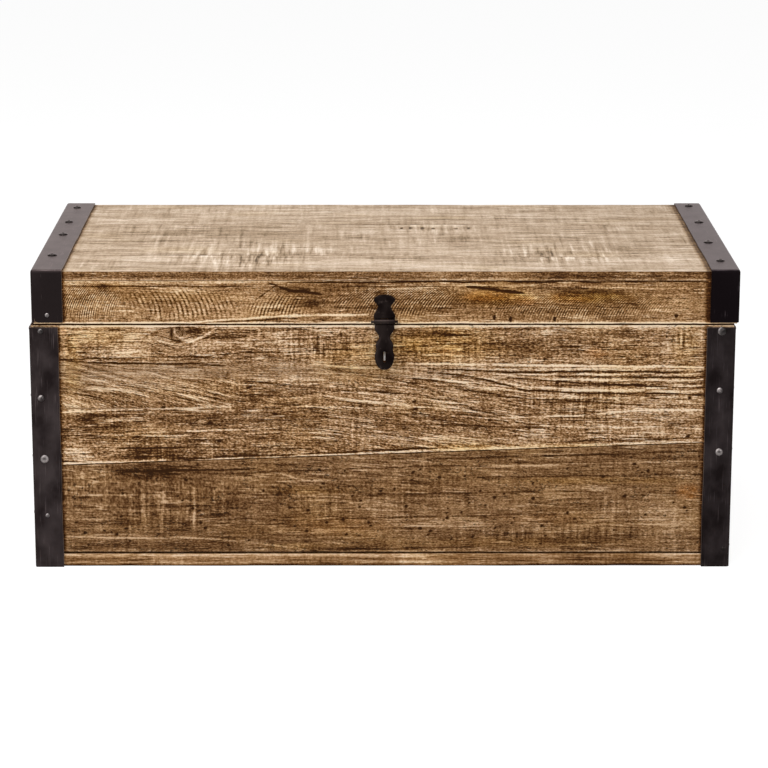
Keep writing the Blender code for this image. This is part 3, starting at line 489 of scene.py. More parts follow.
# What a board's surface shows at one place: its grain height, its tints, its saw marks and how hollow it is
def timberMarks(marks, u, v, seed):
    grain = v - sum(fanShift(u, v, fan) for fan in marks.get("fans", ()))
    grain += wander("bend", u, v, seed) + wander("ripple", u, v, seed)
    tone = wander("cloud", u, grain, seed) + wander("fleck", u, v, seed)
    rim, rimHalf = markShape["knotRim"]
    for mark in marks.get("knots", ()):
        du, dv = (u - mark[0]) / mark[2], (v - mark[1]) / mark[3]
        reach = math.hypot(du, dv) + wander("knot", u, v, seed)
        if reach < 1:
            grain = mark[1] + reach * mark[3] * markShape["knotRings"]
            tone -= mark[4] * math.exp(-((reach - rim) / rimHalf) ** 2)
        swellLong, swellHigh = markShape["knotSwell"]
        swell = mark[3] * math.exp(-(du / swellLong) ** 2 - abs(dv) / swellHigh)
        grain -= swell if dv > 0 else -swell
    tone += ovals(marks, "pales", u, v, seed) - ovals(marks, "stains", u, v, seed)
    warm = marks.get("warmth", 0) + max(0, wander("warmth", u, v, seed)) + ovals(marks, "warms", u, v, seed)
    rust = ovals(marks, "rusts", u, v, seed)
    comb = markShape["combLeast"] + max(0, wander("combed", u, v, seed))
    comb += sum(mark[4] * oval(u, v, mark) for mark in marks.get("scored", ()))
    tone += sum(line[2] * stroke(u, v, line) for line in marks.get("lines", ()))
    tone += sum(mark[4] * scratch(u, v, mark) for mark in marks.get("scratches", ()))
    # Beside the irons: darker, rustier wood, partly iron stain and partly painted shade along their raised
    # edges
    if "irons" in marks:
        left, right = marks["irons"]
        beside = math.exp(-(max(0, min(u - left, right - u)) / markShape["ironReach"]) ** 2)
        tone -= markShape["ironStainAndShade"] * beside
        rust += markShape["ironRust"] * beside
    hollow = markShape["hollow"] - wander("valley", u, grain, seed) - wander("furrow", u, grain, seed)
    for place, height, halfLength, halfHeight in marks.get("pits", ()):
        du, dv = (u - place) / halfLength, (v - height) / halfHeight
        if max(abs(du), abs(dv)) < markShape["pitReach"]:
            depth = math.exp(-du ** 2 - dv ** 2)
            tone -= markShape["pitTone"] * depth
            hollow += markShape["pitDepth"] * depth
    sweeps = (sawArcs(u, v, mark, seed) for mark in marks.get("saws", ()))
    phase, saw = max(sweeps, key=lambda sweep: sweep[1], default=(0, 0))
    hollow -= markShape["sawDepth"] * saw * (2 * abs(math.sin(math.pi * phase)) - 1)
    return {"grain": grain, "tone": tone, "warm": min(max(warm, 0), 1), "rust": min(max(rust, 0), 1),
            "comb": comb, "phase": phase, "saw": saw, "hollow": max(0, hollow)}


# What the boards in view show, in the length u and the height v of each face. Knots, stains, pales, warms,
# rusts and scored patches are (u, v, half length, half height, strength), pits (u, v, half length, half
# height), lines (points, width, tone), scratches (u, low, high, width, tone), fans (slope, anchor, length,
# low, its softness, high, its softness) and saws (side, radius, centre, pitch, strength, area). A joint has
# a dark groove, partly grime and partly painted shade in the gap, and a pale band beside it, partly wear
# and partly painted highlight on the rounded arris.
frontUpperMarks = {
    "arris": 0.9,
    "lowJoint": {"pale": 0.55, "dark": -0.05, "band": 5.6, "groove": 0.7},
    "highJoint": {"pale": 1.6, "dark": -1.8, "band": 5.2, "groove": 0.9},
    "irons": (-459, 459),
    "fans": (
        (0.28, -205, 260, 236, 1, 308, 55),
        (0.12, 210, 300, 200, 200, 306, 30),
    ),
    "knots": ((-290, 346, 10, 10, 0.2),),
    "stains": (
        # The strong dark oval at u 2.5, v 311 is painted shade on the wood behind the hasp's slot
        (-329, 162, 72, 20, 0.55), (-266, 348, 16, 6, 0.6), (-225, 340, 40, 4, 0.3), (2.5, 311, 7, 14, 3),
        (40, 300, 26, 8, 0.2), (-405, 216, 50, 16, 0.2), (-240, 345, 90, 10, 0.1), (75, 343, 65, 5, 0.35),
        (80, 328, 100, 30, 0.04), (210, 300, 260, 50, 0.06), (-250, 220, 260, 70, 0.14),
        (-430, 190, 70, 34, 0.14), (380, 220, 120, 60, 0.06), (120, 220, 160, 50, 0.05),
        (-400, 220, 60, 14, 0.12), (250, 192, 120, 8, 0.15), (240, 326, 130, 16, 0.12),
        (0, 225, 460, 60, 0.06),
    ),
    "pales": (
        (-380, 330, 110, 30, 0.12), (420, 330, 60, 30, 0.1), (-330, 275, 140, 45, 0.1),
        (220, 305, 210, 7, 0.15), (390, 230, 90, 24, 0.16), (-360, 205, 110, 3, 0.15),
        (60, 265, 130, 40, 0.06), (-290, 330, 160, 10, 0.12), (-275, 336, 12, 6, 0.3),
    ),
    "warms": (
        (88, 329, 115, 38, 0.55), (-440, 300, 20, 60, 0.4), (-40, 300, 90, 40, 0.35),
        (430, 320, 30, 60, 0.3), (-380, 340, 90, 20, 0.2), (200, 178, 260, 8, 0.3),
    ),
    "rusts": ((302, 316, 24, 12, 0.4), (95, 318, 30, 8, 0.25), (-452, 350, 8, 10, 0.3)),
    "scored": (
        (260, 260, 120, 50, 0.5), (-60, 330, 120, 30, 0.4), (425, 335, 35, 20, 0.6),
        (-300, 170, 80, 20, 0.4),
    ),
    # Many pale lines lie beside a dark one: raised fibres, with painted highlight on the crest and painted
    # shadow beside it, over the wood's own streaks
    "lines": (
        ((-456, 230, -380, 233, -309, 235, -214, 238), 2, 0.6),
        ((-300, 337, -294, 334, -284, 333), 2, -0.9),
        ((-294, 344, -287, 339, -281, 339), 2.2, 0.7),
        ((-282, 331, -270, 333, -256, 340, -238, 350), 2.2, 0.6),
        ((-262, 334, -235, 344, -205, 347), 1.8, -0.4), ((-320, 352, -240, 356), 2, -0.5),
        ((-290, 161, -150, 166, 0, 173, 80, 177), 3, -0.8),
        ((-450, 192, -380, 197, -328, 200, -285, 202, -150, 206), 2, 0.45),
        ((-456, 306, -395, 302, -323, 301, -265, 301, -223, 298), 2, -0.7),
        ((-456, 307, -323, 310, -259, 310, -199, 317, -131, 318, 120, 330), 1.6, -0.5),
        ((-456, 303, -380, 281, -309, 259, -260, 252, -212, 240), 1.4, 0.39),
        ((-440, 303, -364, 282, -303, 263, -212, 246), 1.3, -0.35),
        ((-456, 289, -395, 275, -349, 256, -285, 243, -220, 237), 1.4, 0.35),
        ((-450, 296, -388, 279, -329, 258, -272, 247, -216, 239), 1.2, -0.32),
        ((-456, 278, -401, 262, -364, 246), 1.4, 0.32),
        ((-456, 284, -398, 268, -356, 251, -310, 241), 1.2, -0.28),
        ((-456, 250, -417, 239), 1.4, 0.32), ((-456, 272, -411, 255, -380, 243), 1.1, -0.28),
        ((-430, 309, -330, 288, -250, 262, -190, 250), 1.3, 0.28),
        ((-450, 306, -340, 291, -240, 268, -170, 254), 1.2, -0.32),
        ((34, 301, 175, 299, 279, 298, 456, 295), 3, 0.85),
        ((64, 293, 175, 288, 279, 289, 456, 289), 2, -0.8),
        ((56, 290, 132, 281, 200, 262, 279, 258, 456, 256), 2.2, -0.8),
        ((175, 280, 279, 272, 456, 265), 2, -0.7), ((250, 281, 456, 281), 1.8, -0.7),
        ((100, 289, 200, 268, 279, 263, 360, 263, 456, 270), 2, 0.5),
        ((135, 221, 279, 224, 364, 232, 456, 232), 2.2, 0.5),
        ((3, 281, 64, 265, 135, 231, 175, 225), 1.8, -0.5),
        ((264, 186, 402, 190, 456, 192), 2, -0.5),
        ((150, 285.5, 279, 285, 456, 285), 1.6, 0.6), ((200, 277, 456, 277), 1.8, 0.55),
        ((230, 269, 340, 269, 456, 273), 1.6, -0.5), ((240, 261, 456, 261), 1.6, 0.45),
        ((120, 292, 300, 293, 456, 292), 1.4, 0.4), ((90, 276, 220, 256, 300, 252), 1.6, 0.45),
        ((30, 284, 220, 262), 1.8, 0.45), ((10, 277, 200, 250), 1.8, -0.45),
        ((120, 255, 380, 240), 1.8, -0.5), ((180, 250, 456, 252), 2.4, 0.4),
        ((-60, 250, 160, 226), 1.6, 0.35), ((-100, 300, 40, 290), 1.6, 0.4),
        ((-80, 292, 120, 270), 1.6, -0.4), ((250, 209, 456, 205), 1.8, 0.4),
        ((-40, 215, 240, 206), 1.6, -0.35), ((-455, 176, -415, 175), 2.4, 0.35),
        ((-380, 176, -280, 178), 2, -0.5), ((-200, 276, -60, 262, 60, 256), 1.5, -0.4),
        ((-180, 240, 0, 236, 120, 238), 1.5, 0.35),
    ),
    "scratches": ((-299, 336, 353, 1.6, -0.7), (-294, 339, 356, 1.4, 0.5), (-287, 347, 358, 1.6, -0.4)),
    "pits": (
        (230, 307, 1.6, 1.3), (437, 251, 1.9, 1.4), (436, 194, 1.9, 1.6), (152, 218, 1.9, 1.2),
        (45, 245, 1.9, 1.4), (48, 235, 1.9, 1.4), (316, 272, 2.2, 1.2), (248, 273, 1.9, 1.2),
        (-246, 214, 2.5, 1.6), (-233, 187, 2.2, 1.4), (-153, 227, 2.5, 1.2), (-380, 302, 1.9, 1.2),
        (-312, 237, 2.2, 1.1), (-190, 266, 2.5, 1.3),
    ),
}
frontLowerMarks = {
    "arris": 0.9,
    "lowJoint": {"pale": 0.3, "dark": -0.3, "band": 3.6, "groove": 0.8},
    "highJoint": {"pale": 0.1, "dark": -0.25, "band": 3.6, "groove": 0.7},
    "irons": (-459, 459),
    "fans": (
        (0.05, 450, 900, 160, 100, 400, 1),
    ),
    "knots": ((-437, 28, 13, 3, 0.4),),
    "stains": (
        (-330, 142, 70, 16, 0.45), (-280, 90, 190, 60, 0.17), (-40, 120, 240, 30, 0.08),
        (300, 40, 120, 7, 0.15), (-43, 27, 34, 4, 0.45), (42, 27, 20, 3.5, 0.45), (297, 27, 58, 4, 0.3),
        (-300, 34, 180, 9, 0.1),
    ),
    "pales": (
        (410, 72, 75, 55, 0.2), (-400, 40, 60, 4, 0.1), (-180, 34, 100, 4, 0.1), (250, 150, 200, 4, 0.15),
        (230, 108, 60, 8, 0.1),
    ),
    "warms": (
        (300, 128, 180, 8, 0.35), (-100, 115, 90, 10, 0.3), (-120, 30, 90, 8, 0.35),
        (200, 36, 240, 12, 0.3),
    ),
    "rusts": ((440, 112, 30, 16, 0.7), (-60, 60, 120, 20, 0.15), (220, 72, 100, 12, 0.12)),
    "scored": (
        (-310, 90, 90, 50, 0.6), (190, 49, 45, 10, 1), (300, 52, 160, 16, 0.6), (-60, 90, 160, 40, 0.3),
        (340, 88, 60, 30, 0.5),
    ),
    "scratches": (
        (-361, 66, 118, 3, 0.25), (-345, 60, 130, 3.5, 0.25), (-335, 60, 135, 3.5, 0.3),
        (-317, 45, 92, 3, 0.3), (-270, 52, 118, 2.2, 0.6), (-229, 66, 140, 3, 0.3),
        (-242, 70, 120, 2.5, 0.2), (420, 60, 95, 1.8, 0.25),
    ),
    "lines": (
        ((-455, 45, -389, 42, -284, 43, -198, 37, -132, 29, -105, 24), 2.4, 0.5),
        ((30, 60, 150, 61), 1.6, 0.45), ((180, 72, 300, 70, 456, 72), 1.6, 0.35),
        ((180, 79, 456, 86), 1.6, 0.3), ((-450, 107, -315, 107), 1.6, 0.4),
        ((265, 63, 450, 63), 1.6, 0.3), ((-380, 141, -180, 146), 2.4, -0.6),
        ((-250, 138, 120, 152), 2, -0.4), ((60, 160, 456, 172), 2.2, -0.4),
        ((100, 148, 456, 158), 1.8, 0.35), ((-456, 88, -200, 92), 1.6, -0.3),
        ((-100, 70, 200, 78), 1.6, -0.35), ((-120, 24, 200, 30), 1.6, -0.4),
        ((0, 131, 456, 138), 1.8, -0.35), ((-150, 128, 140, 133), 1.6, 0.35),
        ((-20, 108, 300, 113), 1.6, -0.3),
    ),
    "pits": (
        (-171, 113, 1.5, 1.4), (-428, 51, 1.5, 1.4), (-255, 58, 1.5, 1.4), (-382, 48, 1.5, 1.4),
        (360, 153, 1.8, 1.4), (380, 143, 1.5, 1.4), (316, 134, 1.5, 1.4), (216, 102, 1.6, 1.7),
        (266, 80, 1.5, 1.9), (229, 61, 1.5, 1.4), (347, 105, 1.6, 1.4), (434, 88, 1.8, 1.4),
        (93, 73, 1.4, 1.4), (69, 53, 1.8, 1.3), (54, 57, 1.6, 1.4), (34, 90, 1.6, 1.3),
        (161, 103, 1.6, 1.3), (81, 133, 1.6, 1.4), (44, 141, 1.6, 1.4), (-85, 124, 1.5, 1.3),
        (-133, 88, 1.5, 1.3), (-80, 66, 1.6, 1.4), (-109, 53, 1.6, 1.4), (-368, 57, 1.6, 1.2),
        (-52, 48, 1.5, 1.3), (-107, 84, 1.6, 1.2), (-272, 87, 1.6, 1.3), (-57, 70, 1.6, 1.2),
        (-20, 66, 1.5, 1.2),
    ),
}
# Worm holes too small to place one by one
wormHoles = {
    "count": 70, "seed": 11, "u": (-455, 455), "v": (30, 165), "halfLength": (0.9, 1.3), "halfHeight": 0.9,
}
chance = random.Random(wormHoles["seed"])
frontLowerMarks["pits"] += tuple(
    (*(chance.uniform(*wormHoles[key]) for key in ("u", "v", "halfLength")), wormHoles["halfHeight"])
    for k in range(wormHoles["count"]))
# The edge of the bottom boards: pale at both arrises, with the shadow of the floor under it
bottomMarks = {
    "proud": 1.5, "side": -0.04,
    "sideBands": ((17.5, 2.2, 0.22), (9.5, 4, -0.1), (4, 2.2, 0.25), (0.6, 1, -0.7)),
    "pales": ((-300, -258, 180, 30, 0.05), (42, -258, 34, 30, 0.22)),
    "stains": ((270, -258, 230, 30, 0.07),),
}
railMarks = {
    "lowJoint": {"pale": 1.5, "dark": -1.6, "band": 3, "groove": 0.4},
    # Its high joint's dark is positive: painted light that lifts the shade of the seam under the lid boards
    "highJoint": {"pale": 0.2, "dark": 0.3, "band": 3.6, "groove": 0.9},
    "irons": (-451.5, 459.5), "warmth": 0.1, "arris": 0.8,
    "knots": ((-128, 408, 26, 5, 0.3),),
    "stains": (
        (-100, 388, 16, 8, 0.25), (-395, 411, 12, 9, 0.3), (290, 404, 80, 10, 0.25),
        (260, 395, 230, 50, 0.16), (-60, 395, 120, 34, 0.2), (60, 390, 90, 30, 0.16),
        (-330, 390, 120, 40, 0.08), (-200, 417, 260, 5, 0.1),
    ),
    "pales": (
        (-380, 382, 80, 12, 0.12), (-330, 368, 120, 5, 0.15), (400, 390, 50, 18, 0.15),
        (-200, 372, 250, 5, 0.1),
    ),
    "warms": (
        (160, 396, 75, 16, 0.7), (290, 398, 80, 14, 0.6), (-380, 412, 60, 8, 0.3),
        (-300, 398, 140, 14, 0.2),
    ),
    "rusts": ((145, 398, 44, 12, 0.45), (200, 392, 30, 10, 0.35), (262, 396, 40, 10, 0.35)),
    "lines": (
        ((-178, 395, -165, 404, -150, 414), 1.4, -0.4),
        ((-162, 418, -145, 412, -131, 407), 1.6, -0.5),
        ((-146, 412, -131, 407, -110, 405, -86, 401), 3.4, -0.8),
        ((118, 412, 150, 409, 200, 403), 3.6, -1),
        ((-270, 361, -200, 366, -131, 371, -60, 371, -20, 372), 2.4, 0.7),
        ((-270, 359, -190, 363, -120, 367), 1.6, -0.6), ((-455, 413, -150, 413), 1.4, -0.5),
        ((-60, 414, 300, 411), 1.2, -0.4), ((-20, 408, 120, 414, 455, 409), 1.6, 0.3),
        # At the seam under the lid boards: a dark line from the middle to the right, painted shade in the
        # gap, and a pale line on the left, painted highlight on the rail's arris
        ((-140, 419.6, 120, 419.6, 459, 419.6), 1.8, -1), ((-450, 417.5, -40, 417.5), 1.6, 0.2),
    ),
    "pits": ((415, 370, 1.5, 1.7), (181, 365, 1.2, 2.9), (243, 366, 1.2, 2.2), (158, 368, 1.2, 2.2)),
    "saws": (
        (1, 76, 362, 6.6, 0.7, (-285, 386, 115, 34)),
        (-1, 80, 358, 3.2, 1.2, (-415, 392, 60, 34)),
        (-1, 70, 356, 5, 0.9, (-150, 384, 60, 24)),
        (-1, 68, 350, 4.1, 1, (20, 394, 130, 34)),
        (-1, 62, 348, 3.8, 0.75, (280, 388, 180, 34)),
    ),
}
lidTopMarks = {
    "lowJoint": {"pale": 0.05, "dark": -0.12, "band": 3.6, "groove": 0.9},
    "highJoint": {"pale": 0.05, "dark": -0.12, "band": 3.6, "groove": 0.9},
    "irons": (-451.5, 459.5), "side": -0.13, "warmth": -0.12, "arris": 0.9,
    # The first side band, pale and low on the boards' front edge, is painted light that lifts the shade of
    # the seam above the rail
    "sideBands": ((12.6, 0.9, 0.35), (6, 1.2, -0.1)),
    "pales": (
        (-330, -190, 170, 60, 0.15), (-60, -200, 160, 50, 0.1), (430, -180, 60, 90, 0.2),
        (0, 200, 500, 40, 0.05), (300, -200, 200, 50, 0.08),
    ),
    "stains": (
        (330, -262, 240, 9, 0.18), (-250, 20, 200, 50, 0.12), (60, -30, 250, 50, 0.08),
        (-350, 180, 60, 18, 0.08), (350, 60, 150, 30, 0.08), (-200, 130, 160, 12, 0.12),
    ),
    "scored": (
        (-198, -178, 75, 85, 0.8), (-190, -130, 190, 140, 0.5), (270, -125, 120, 130, 0.7),
        (80, 60, 90, 60, 0.5),
    ),
    "lines": (
        ((-480, 10, 200, 14), 4, -0.12), ((-480, -30, -100, -28), 4, 0.1),
        ((-100, 130, 480, 132), 5, -0.1), ((-20, 20, 420, 24), 4, -0.12),
        ((100, -80, 420, -76), 4, -0.12), ((-450, 60, -150, 66), 5, -0.12),
    ),
    "pits": (
        (30, 62, 1.2, 4.3), (44, 64, 1.2, 5.8), (62, 62, 1.2, 5.8), (78, 60, 1.2, 5.8), (112, 60, 1.2, 5.8),
        (132, 62, 1.2, 4.3),
    ),
    "saws": (
        (1, 700, -500, 8, 0.4, (290, -120, 120, 110)),
    ),
}

print("boards")
fine, finest, medium, coarse = (2.3, 1.3), (1.8, 1.3), (5.0, 2.6), (12.0, 5.0)
railStep, topStep = (1.5, 1.4), (2.6, 3.4)
makeBoard("front_board_upper", "front", "front", "case", fine, frontUpperMarks, 1)
makeBoard("front_board_lower", "front", "lower", "case", finest, frontLowerMarks, 2)
makeBoard("lid_front_rail", "front", "rail", "lid", railStep, railMarks, 3)
for index, name in enumerate(("lid_board_front", "lid_board_middle", "lid_board_back")):
    makeBoard(name, "top", "top", "lid", topStep, lidTopMarks, 4 + index, "rail")
for index, name in enumerate(("bottom_board_front", "bottom_board_middle", "bottom_board_back")):
    makeBoard(name, "under", "lower", "case", coarse, bottomMarks, 8 + index, "edge")
hiddenBoards = (
    ("back_board_lower", "back", "lower", 12), ("back_board_upper", "back", "front", 13),
    ("left_end_board_lower", "left", "lower", 14), ("left_end_board_upper", "left", "front", 15),
    ("right_end_board_lower", "right", "lower", 16), ("right_end_board_upper", "right", "front", 17),
    ("lid_back_rail", "back", "rail", 20), ("lid_left_rail", "left", "rail", 21),
    ("lid_right_rail", "right", "rail", 22),
)
for name, face, look, seed in hiddenBoards:
    makeBoard(name, face, look, "lid" if look == "rail" else "case", medium, {}, seed)


# Ironwork

print("ironwork")


# Where clouds and rubbed marks show in the noise, how strong the rubs get, and the dents of the hammer
ironDetail = {
    "tint": "f6ecea", "cloud": (0.35, 0.7), "rubbed": (0.62, 0.76), "rubbedMost": 0.9, "cellDetail": 4.0,
    "dents": (4, 4, 4), "dentDepth": 0.15,
}


# Oxide-black steel: nearly black face on, pale where it is seen at a low angle, rubbed along scratches,
# and paler or darker where the vertex attribute says, which carries painted highlights on nails and
# knuckles and keeps the lid irons' front tabs black. The mottle is (cells, least, most).
def blackIron(name, dark, wornAndLit, roughness, scratches, hammered=0.2, mottle=((28, 28, 40), 0, 0.4), metal=1):
    material, tree, principled = newMaterial(name, Metallic=metal, Roughness=roughness)
    principled.inputs["Specular Tint"].default_value = linear(ironDetail["tint"])
    coordinates = addNode(tree, "ShaderNodeTexCoord").outputs["Object"]

    def cells(size):
        scaled = addNode(tree, "ShaderNodeVectorMath", {0: coordinates, 1: [1 / (s * mm) for s in size]},
                         operation="MULTIPLY")
        inputs = {"Vector": scaled.outputs[0], "Scale": 1.0, "Detail": ironDetail["cellDetail"]}
        return addNode(tree, "ShaderNodeTexNoise", inputs).outputs["Fac"]

    clouds, least, most = mottle
    cloud = ranged(tree, cells(clouds), ironDetail["cloud"], least, most)
    rubbed = ranged(tree, cells(scratches), ironDetail["rubbed"], 0.0, ironDetail["rubbedMost"])
    share = reckon(tree, "ADD", reckon(tree, "ADD", cloud, rubbed), attribute(tree, "highlightAndWear"), clamp=True)
    colour = mixColours(tree, share, linear(dark), linear(wornAndLit))
    tree.links.new(colour, principled.inputs["Base Color"])
    bump = addNode(tree, "ShaderNodeBump", {"Strength": hammered, "Distance": ironDetail["dentDepth"] * mm,
                                            "Height": cells(ironDetail["dents"])})
    tree.links.new(bump.outputs[0], principled.inputs["Normal"])
    return material


# The left irons are painted greyer than the right ones, which are nearly black: painted light, as more
# light falls on the left
# The lid straps' mottle is paler than the strips': partly patina, partly painted sheen of the strap tops
stripRubs, strapRubs, strapMottleAndSheen = (1.2, 1.2, 45), (1.6, 30, 30), ((22, 26, 20), 0.3, 0.65)
irons = {
    "case left": blackIron("blackened strip, painted lit side", "1f1919", "534a4a", 0.42, stripRubs),
    "case right": blackIron("blackened strip, painted shaded side", "191414", "494142", 0.4, stripRubs),
    "lid left": blackIron("blackened strap, painted lit side", "241e1e", "645958", 0.36, strapRubs, 1.0, strapMottleAndSheen),
    "lid right": blackIron("blackened strap, painted shaded side", "140f11", "554c4f", 0.36, strapRubs, 1.0, strapMottleAndSheen),
    "edge left": blackIron("strip rubbed to brown, left", "7d6958", "c4ad94", 0.5, (4, 4, 12), metal=0.5),
    "edge right": blackIron("strip rubbed to brown, right", "453a33", "8d7b6b", 0.5, (4, 4, 12), metal=0.5),
    "forged": blackIron("forge-black hasp and handles", "0c0707", "3c3330", 0.33, (6, 6, 6)),
    "nail": blackIron("worn dome-head nails", "1c1717", "a8a09e", 0.3, (3, 3, 3)),
    "dark nail": blackIron("black dome-head nails", "080606", "9c9492", 0.24, (3, 3, 3)),
    "black nail": blackIron("oily black dome-head nails", "040303", "4a4442", 0.2, (3, 3, 3)),
    # The staple is nearly white: a painted highlight for the glint it shows through the hasp's slot
    "staple": blackIron("staple wire, painted white highlight", "f4f4f4", "fafafa", 0.25, (2, 2, 9), 0.0, metal=0.2),
}
# The strips' width, the tabs' place in y and the side flanges' lower edge are those of the solids
ironShape = {
    "arris": 0.6, "wave": 0.7, "waveCells": (55, 17), "cut": 12, "outer": 500, "flange": 40, "tab": 258.5,
    "tabKeptBlack": -0.9, "flangeEdge": 392, "merge": 0.002,
}


# Cuts a strip across every few millimetres and lets its inner edges wander as hand-cut strip does
def addWaves(bm, axis, seed):
    places = [vert.co[axis] / mm for vert in bm.verts]
    normal = Vector([float(k == axis) for k in range(3)])
    place = min(places) + ironShape["cut"] / 2
    while place < max(places):
        parts = bm.verts[:] + bm.edges[:] + bm.faces[:]
        bmesh.ops.bisect_plane(bm, geom=parts, plane_co=normal * place * mm, plane_no=normal)
        place += ironShape["cut"]
    for vert in bm.verts:
        x, along = vert.co.x / mm, vert.co[axis] / mm
        inner = smoothStep(0, 1, (ironShape["outer"] - abs(x)) / ironShape["flange"])
        long, short = ironShape["waveCells"]
        away = drift(along, x, long, 999, seed) + 0.5 * drift(along, x, short, 999, seed + 1)
        vert.co.x += inner * ironShape["wave"] * away * mm


# The side flanges of the lid irons hang as low as their tabs, as they do in the photograph
def lowerFlange(bm):
    lowest = min(vert.co.z for vert in bm.verts)
    for vert in bm.verts:
        if abs(vert.co.z / mm - ironShape["flangeEdge"]) < 1:
            vert.co.z = lowest


# A merged copy of a piece of ironwork, with its sharp edges broken. Its painted highlights are (place,
# radius, strength), and rubbed edges show the material edge.
def dressNode(node, material, body, width, wave=None, seed=0, paintedHighlights=(), edge=None):
    bm = bmesh.new()
    bm.from_mesh(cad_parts[node].data)
    bmesh.ops.remove_doubles(bm, verts=bm.verts, dist=ironShape["merge"] * mm)
    bmesh.ops.dissolve_limit(bm, angle_limit=math.radians(1), verts=bm.verts, edges=bm.edges)
    if material.startswith("lid"):
        lowerFlange(bm)
    if wave is not None:
        addWaves(bm, wave, seed)
    highlightAndWearLayer = bm.verts.layers.float.new("highlightAndWear")
    for vert in bm.verts:
        # The lid irons' front tabs are kept black, so the paler mottle, partly painted sheen, stays on the
        # straps
        if material.startswith("lid") and abs(vert.co.y) > ironShape["tab"] * mm:
            vert[highlightAndWearLayer] = ironShape["tabKeptBlack"]
        for place, radius, highlightAndWear in paintedHighlights:
            vert[highlightAndWearLayer] += highlightAndWear * math.exp(-((vert.co / mm - Vector(place)).length / radius) ** 2)
    piece = finishPiece(node + "_dressed", bm, irons[material], body, [node], smoothAngle=38)
    bevel = piece.modifiers.new("broken edges", "BEVEL")
    bevel.width = width * mm
    bevel.segments = 2
    bevel.limit_method = "ANGLE"
    bevel.angle_limit = math.radians(50)
    if edge:
        piece.data.materials.append(irons[edge])
        bevel.material = 1
    return piece


fineArris, leafArris, plateArris = 0.2, 0.25, 0.3
for side in ("left", "right"):
    for index, endName in enumerate(("front", "back")):
        dressNode(f"{endName}_{side}_corner_iron", "case " + side, "case", ironShape["arris"], 2, 40 + index,
                  edge="edge " + side)
    dressNode(f"lid_{side}_iron", "lid " + side, "lid", ironShape["arris"], 1, 44, edge="edge " + side)
    dressNode(f"hinge_{side}_case_leaf", "case right", "case", leafArris)
    dressNode(f"hinge_{side}_lid_leaf", "case right", "lid", leafArris)
    dressNode(f"hinge_{side}_pin", "case right", "case", fineArris)
    dressNode(f"handle_{side}_plate", "forged", "case", plateArris)
    dressNode(f"handle_{side}_bail", "forged", f"{side}_handle", fineArris)
# A painted highlight on the hasp's knuckles, where the round barrel catches the light
knuckleHighlight = (((2.5, -267, 364), 7, 0.55),)
dressNode("hasp_plate", "forged", "lid", fineArris, paintedHighlights=knuckleHighlight)
dressNode("hasp_leaf", "forged", "hasp", fineArris, paintedHighlights=knuckleHighlight)
dressNode("hasp_pin", "forged", "lid", fineArris)
dressNode("staple", "staple", "case", fineArris)


# Nails

# Domes with a punched dimple, paler in part: a painted highlight in a crescent on the side toward the
# lamps, or a pale ring round a deep dimple. A look is (radius, rise, depth of the dimple, strength of the
# crescent or ring, material).
headHeight, ringLooks = 2.5, ("ring",)
nailLooks = {
    "bright": (4.9, 2.3, 0.5, 0.55, "nail"),
    "ring": (6.0, 2.3, 1.4, 0.35, "nail"),
    "dull": (4.2, 2.3, 0.5, 0.3, "dark nail"),
    "broad": (6.2, 2.4, 0.8, 0.35, "dark nail"),
    # Strap heads are black and broad enough to take in the dark ring round each head: partly their own black,
    # partly painted shade
    "strap": (6.6, 2.4, 1.0, 0.1, "black nail"),
    "tack": (3.0, 1.4, 0.2, 0.35, "nail"),
    "faint": (3.0, 1.4, 0.2, 0.1, "black nail"),
    "small": (2.8, 1.2, 0.2, 0.4, "dark nail"),
    "hasp": (2.4, 1.2, 0.2, 0.0, "forged"),
}
# The photographed corner nails differ; those not named here are dull
cornerLooks = {
    "front_left_corner_nail_2": "bright", "front_left_corner_nail_3": "ring",
    "front_left_corner_nail_4": "tack", "front_right_corner_nail_1": "broad",
    "front_right_corner_nail_2": "bright", "front_right_corner_nail_3": "ring",
    "front_right_corner_nail_4": "faint", "lid_left_iron_tab_nail": "tack",
}
# A head's foot, the angles of its outline, the width of its dimple with and without a ring, and its dents
domeShape = {
    "foot": -0.3, "footShare": 0.97, "belt": 0.1, "angles": (18, 34, 48), "ringDimple": 0.5, "dimple": 0.3,
    "dimpleFloor": 0.6, "turns": 20, "radiusSpread": (0.92, 1.1), "dimpleSpread": (0.7, 1.3), "dents": 0.25,
    "dentCells": 3, "rim": 0.86, "ringSpan": (0.35, 0.55), "crescentSpan": (-0.1, 0.7),
}
# The side of each head that takes the painted highlight, toward the lamps at the front left and above, and
# how far it strays from head to head
highlightSide, highlightSpread = Vector((-0.75, -0.25, 0.6)), 0.3


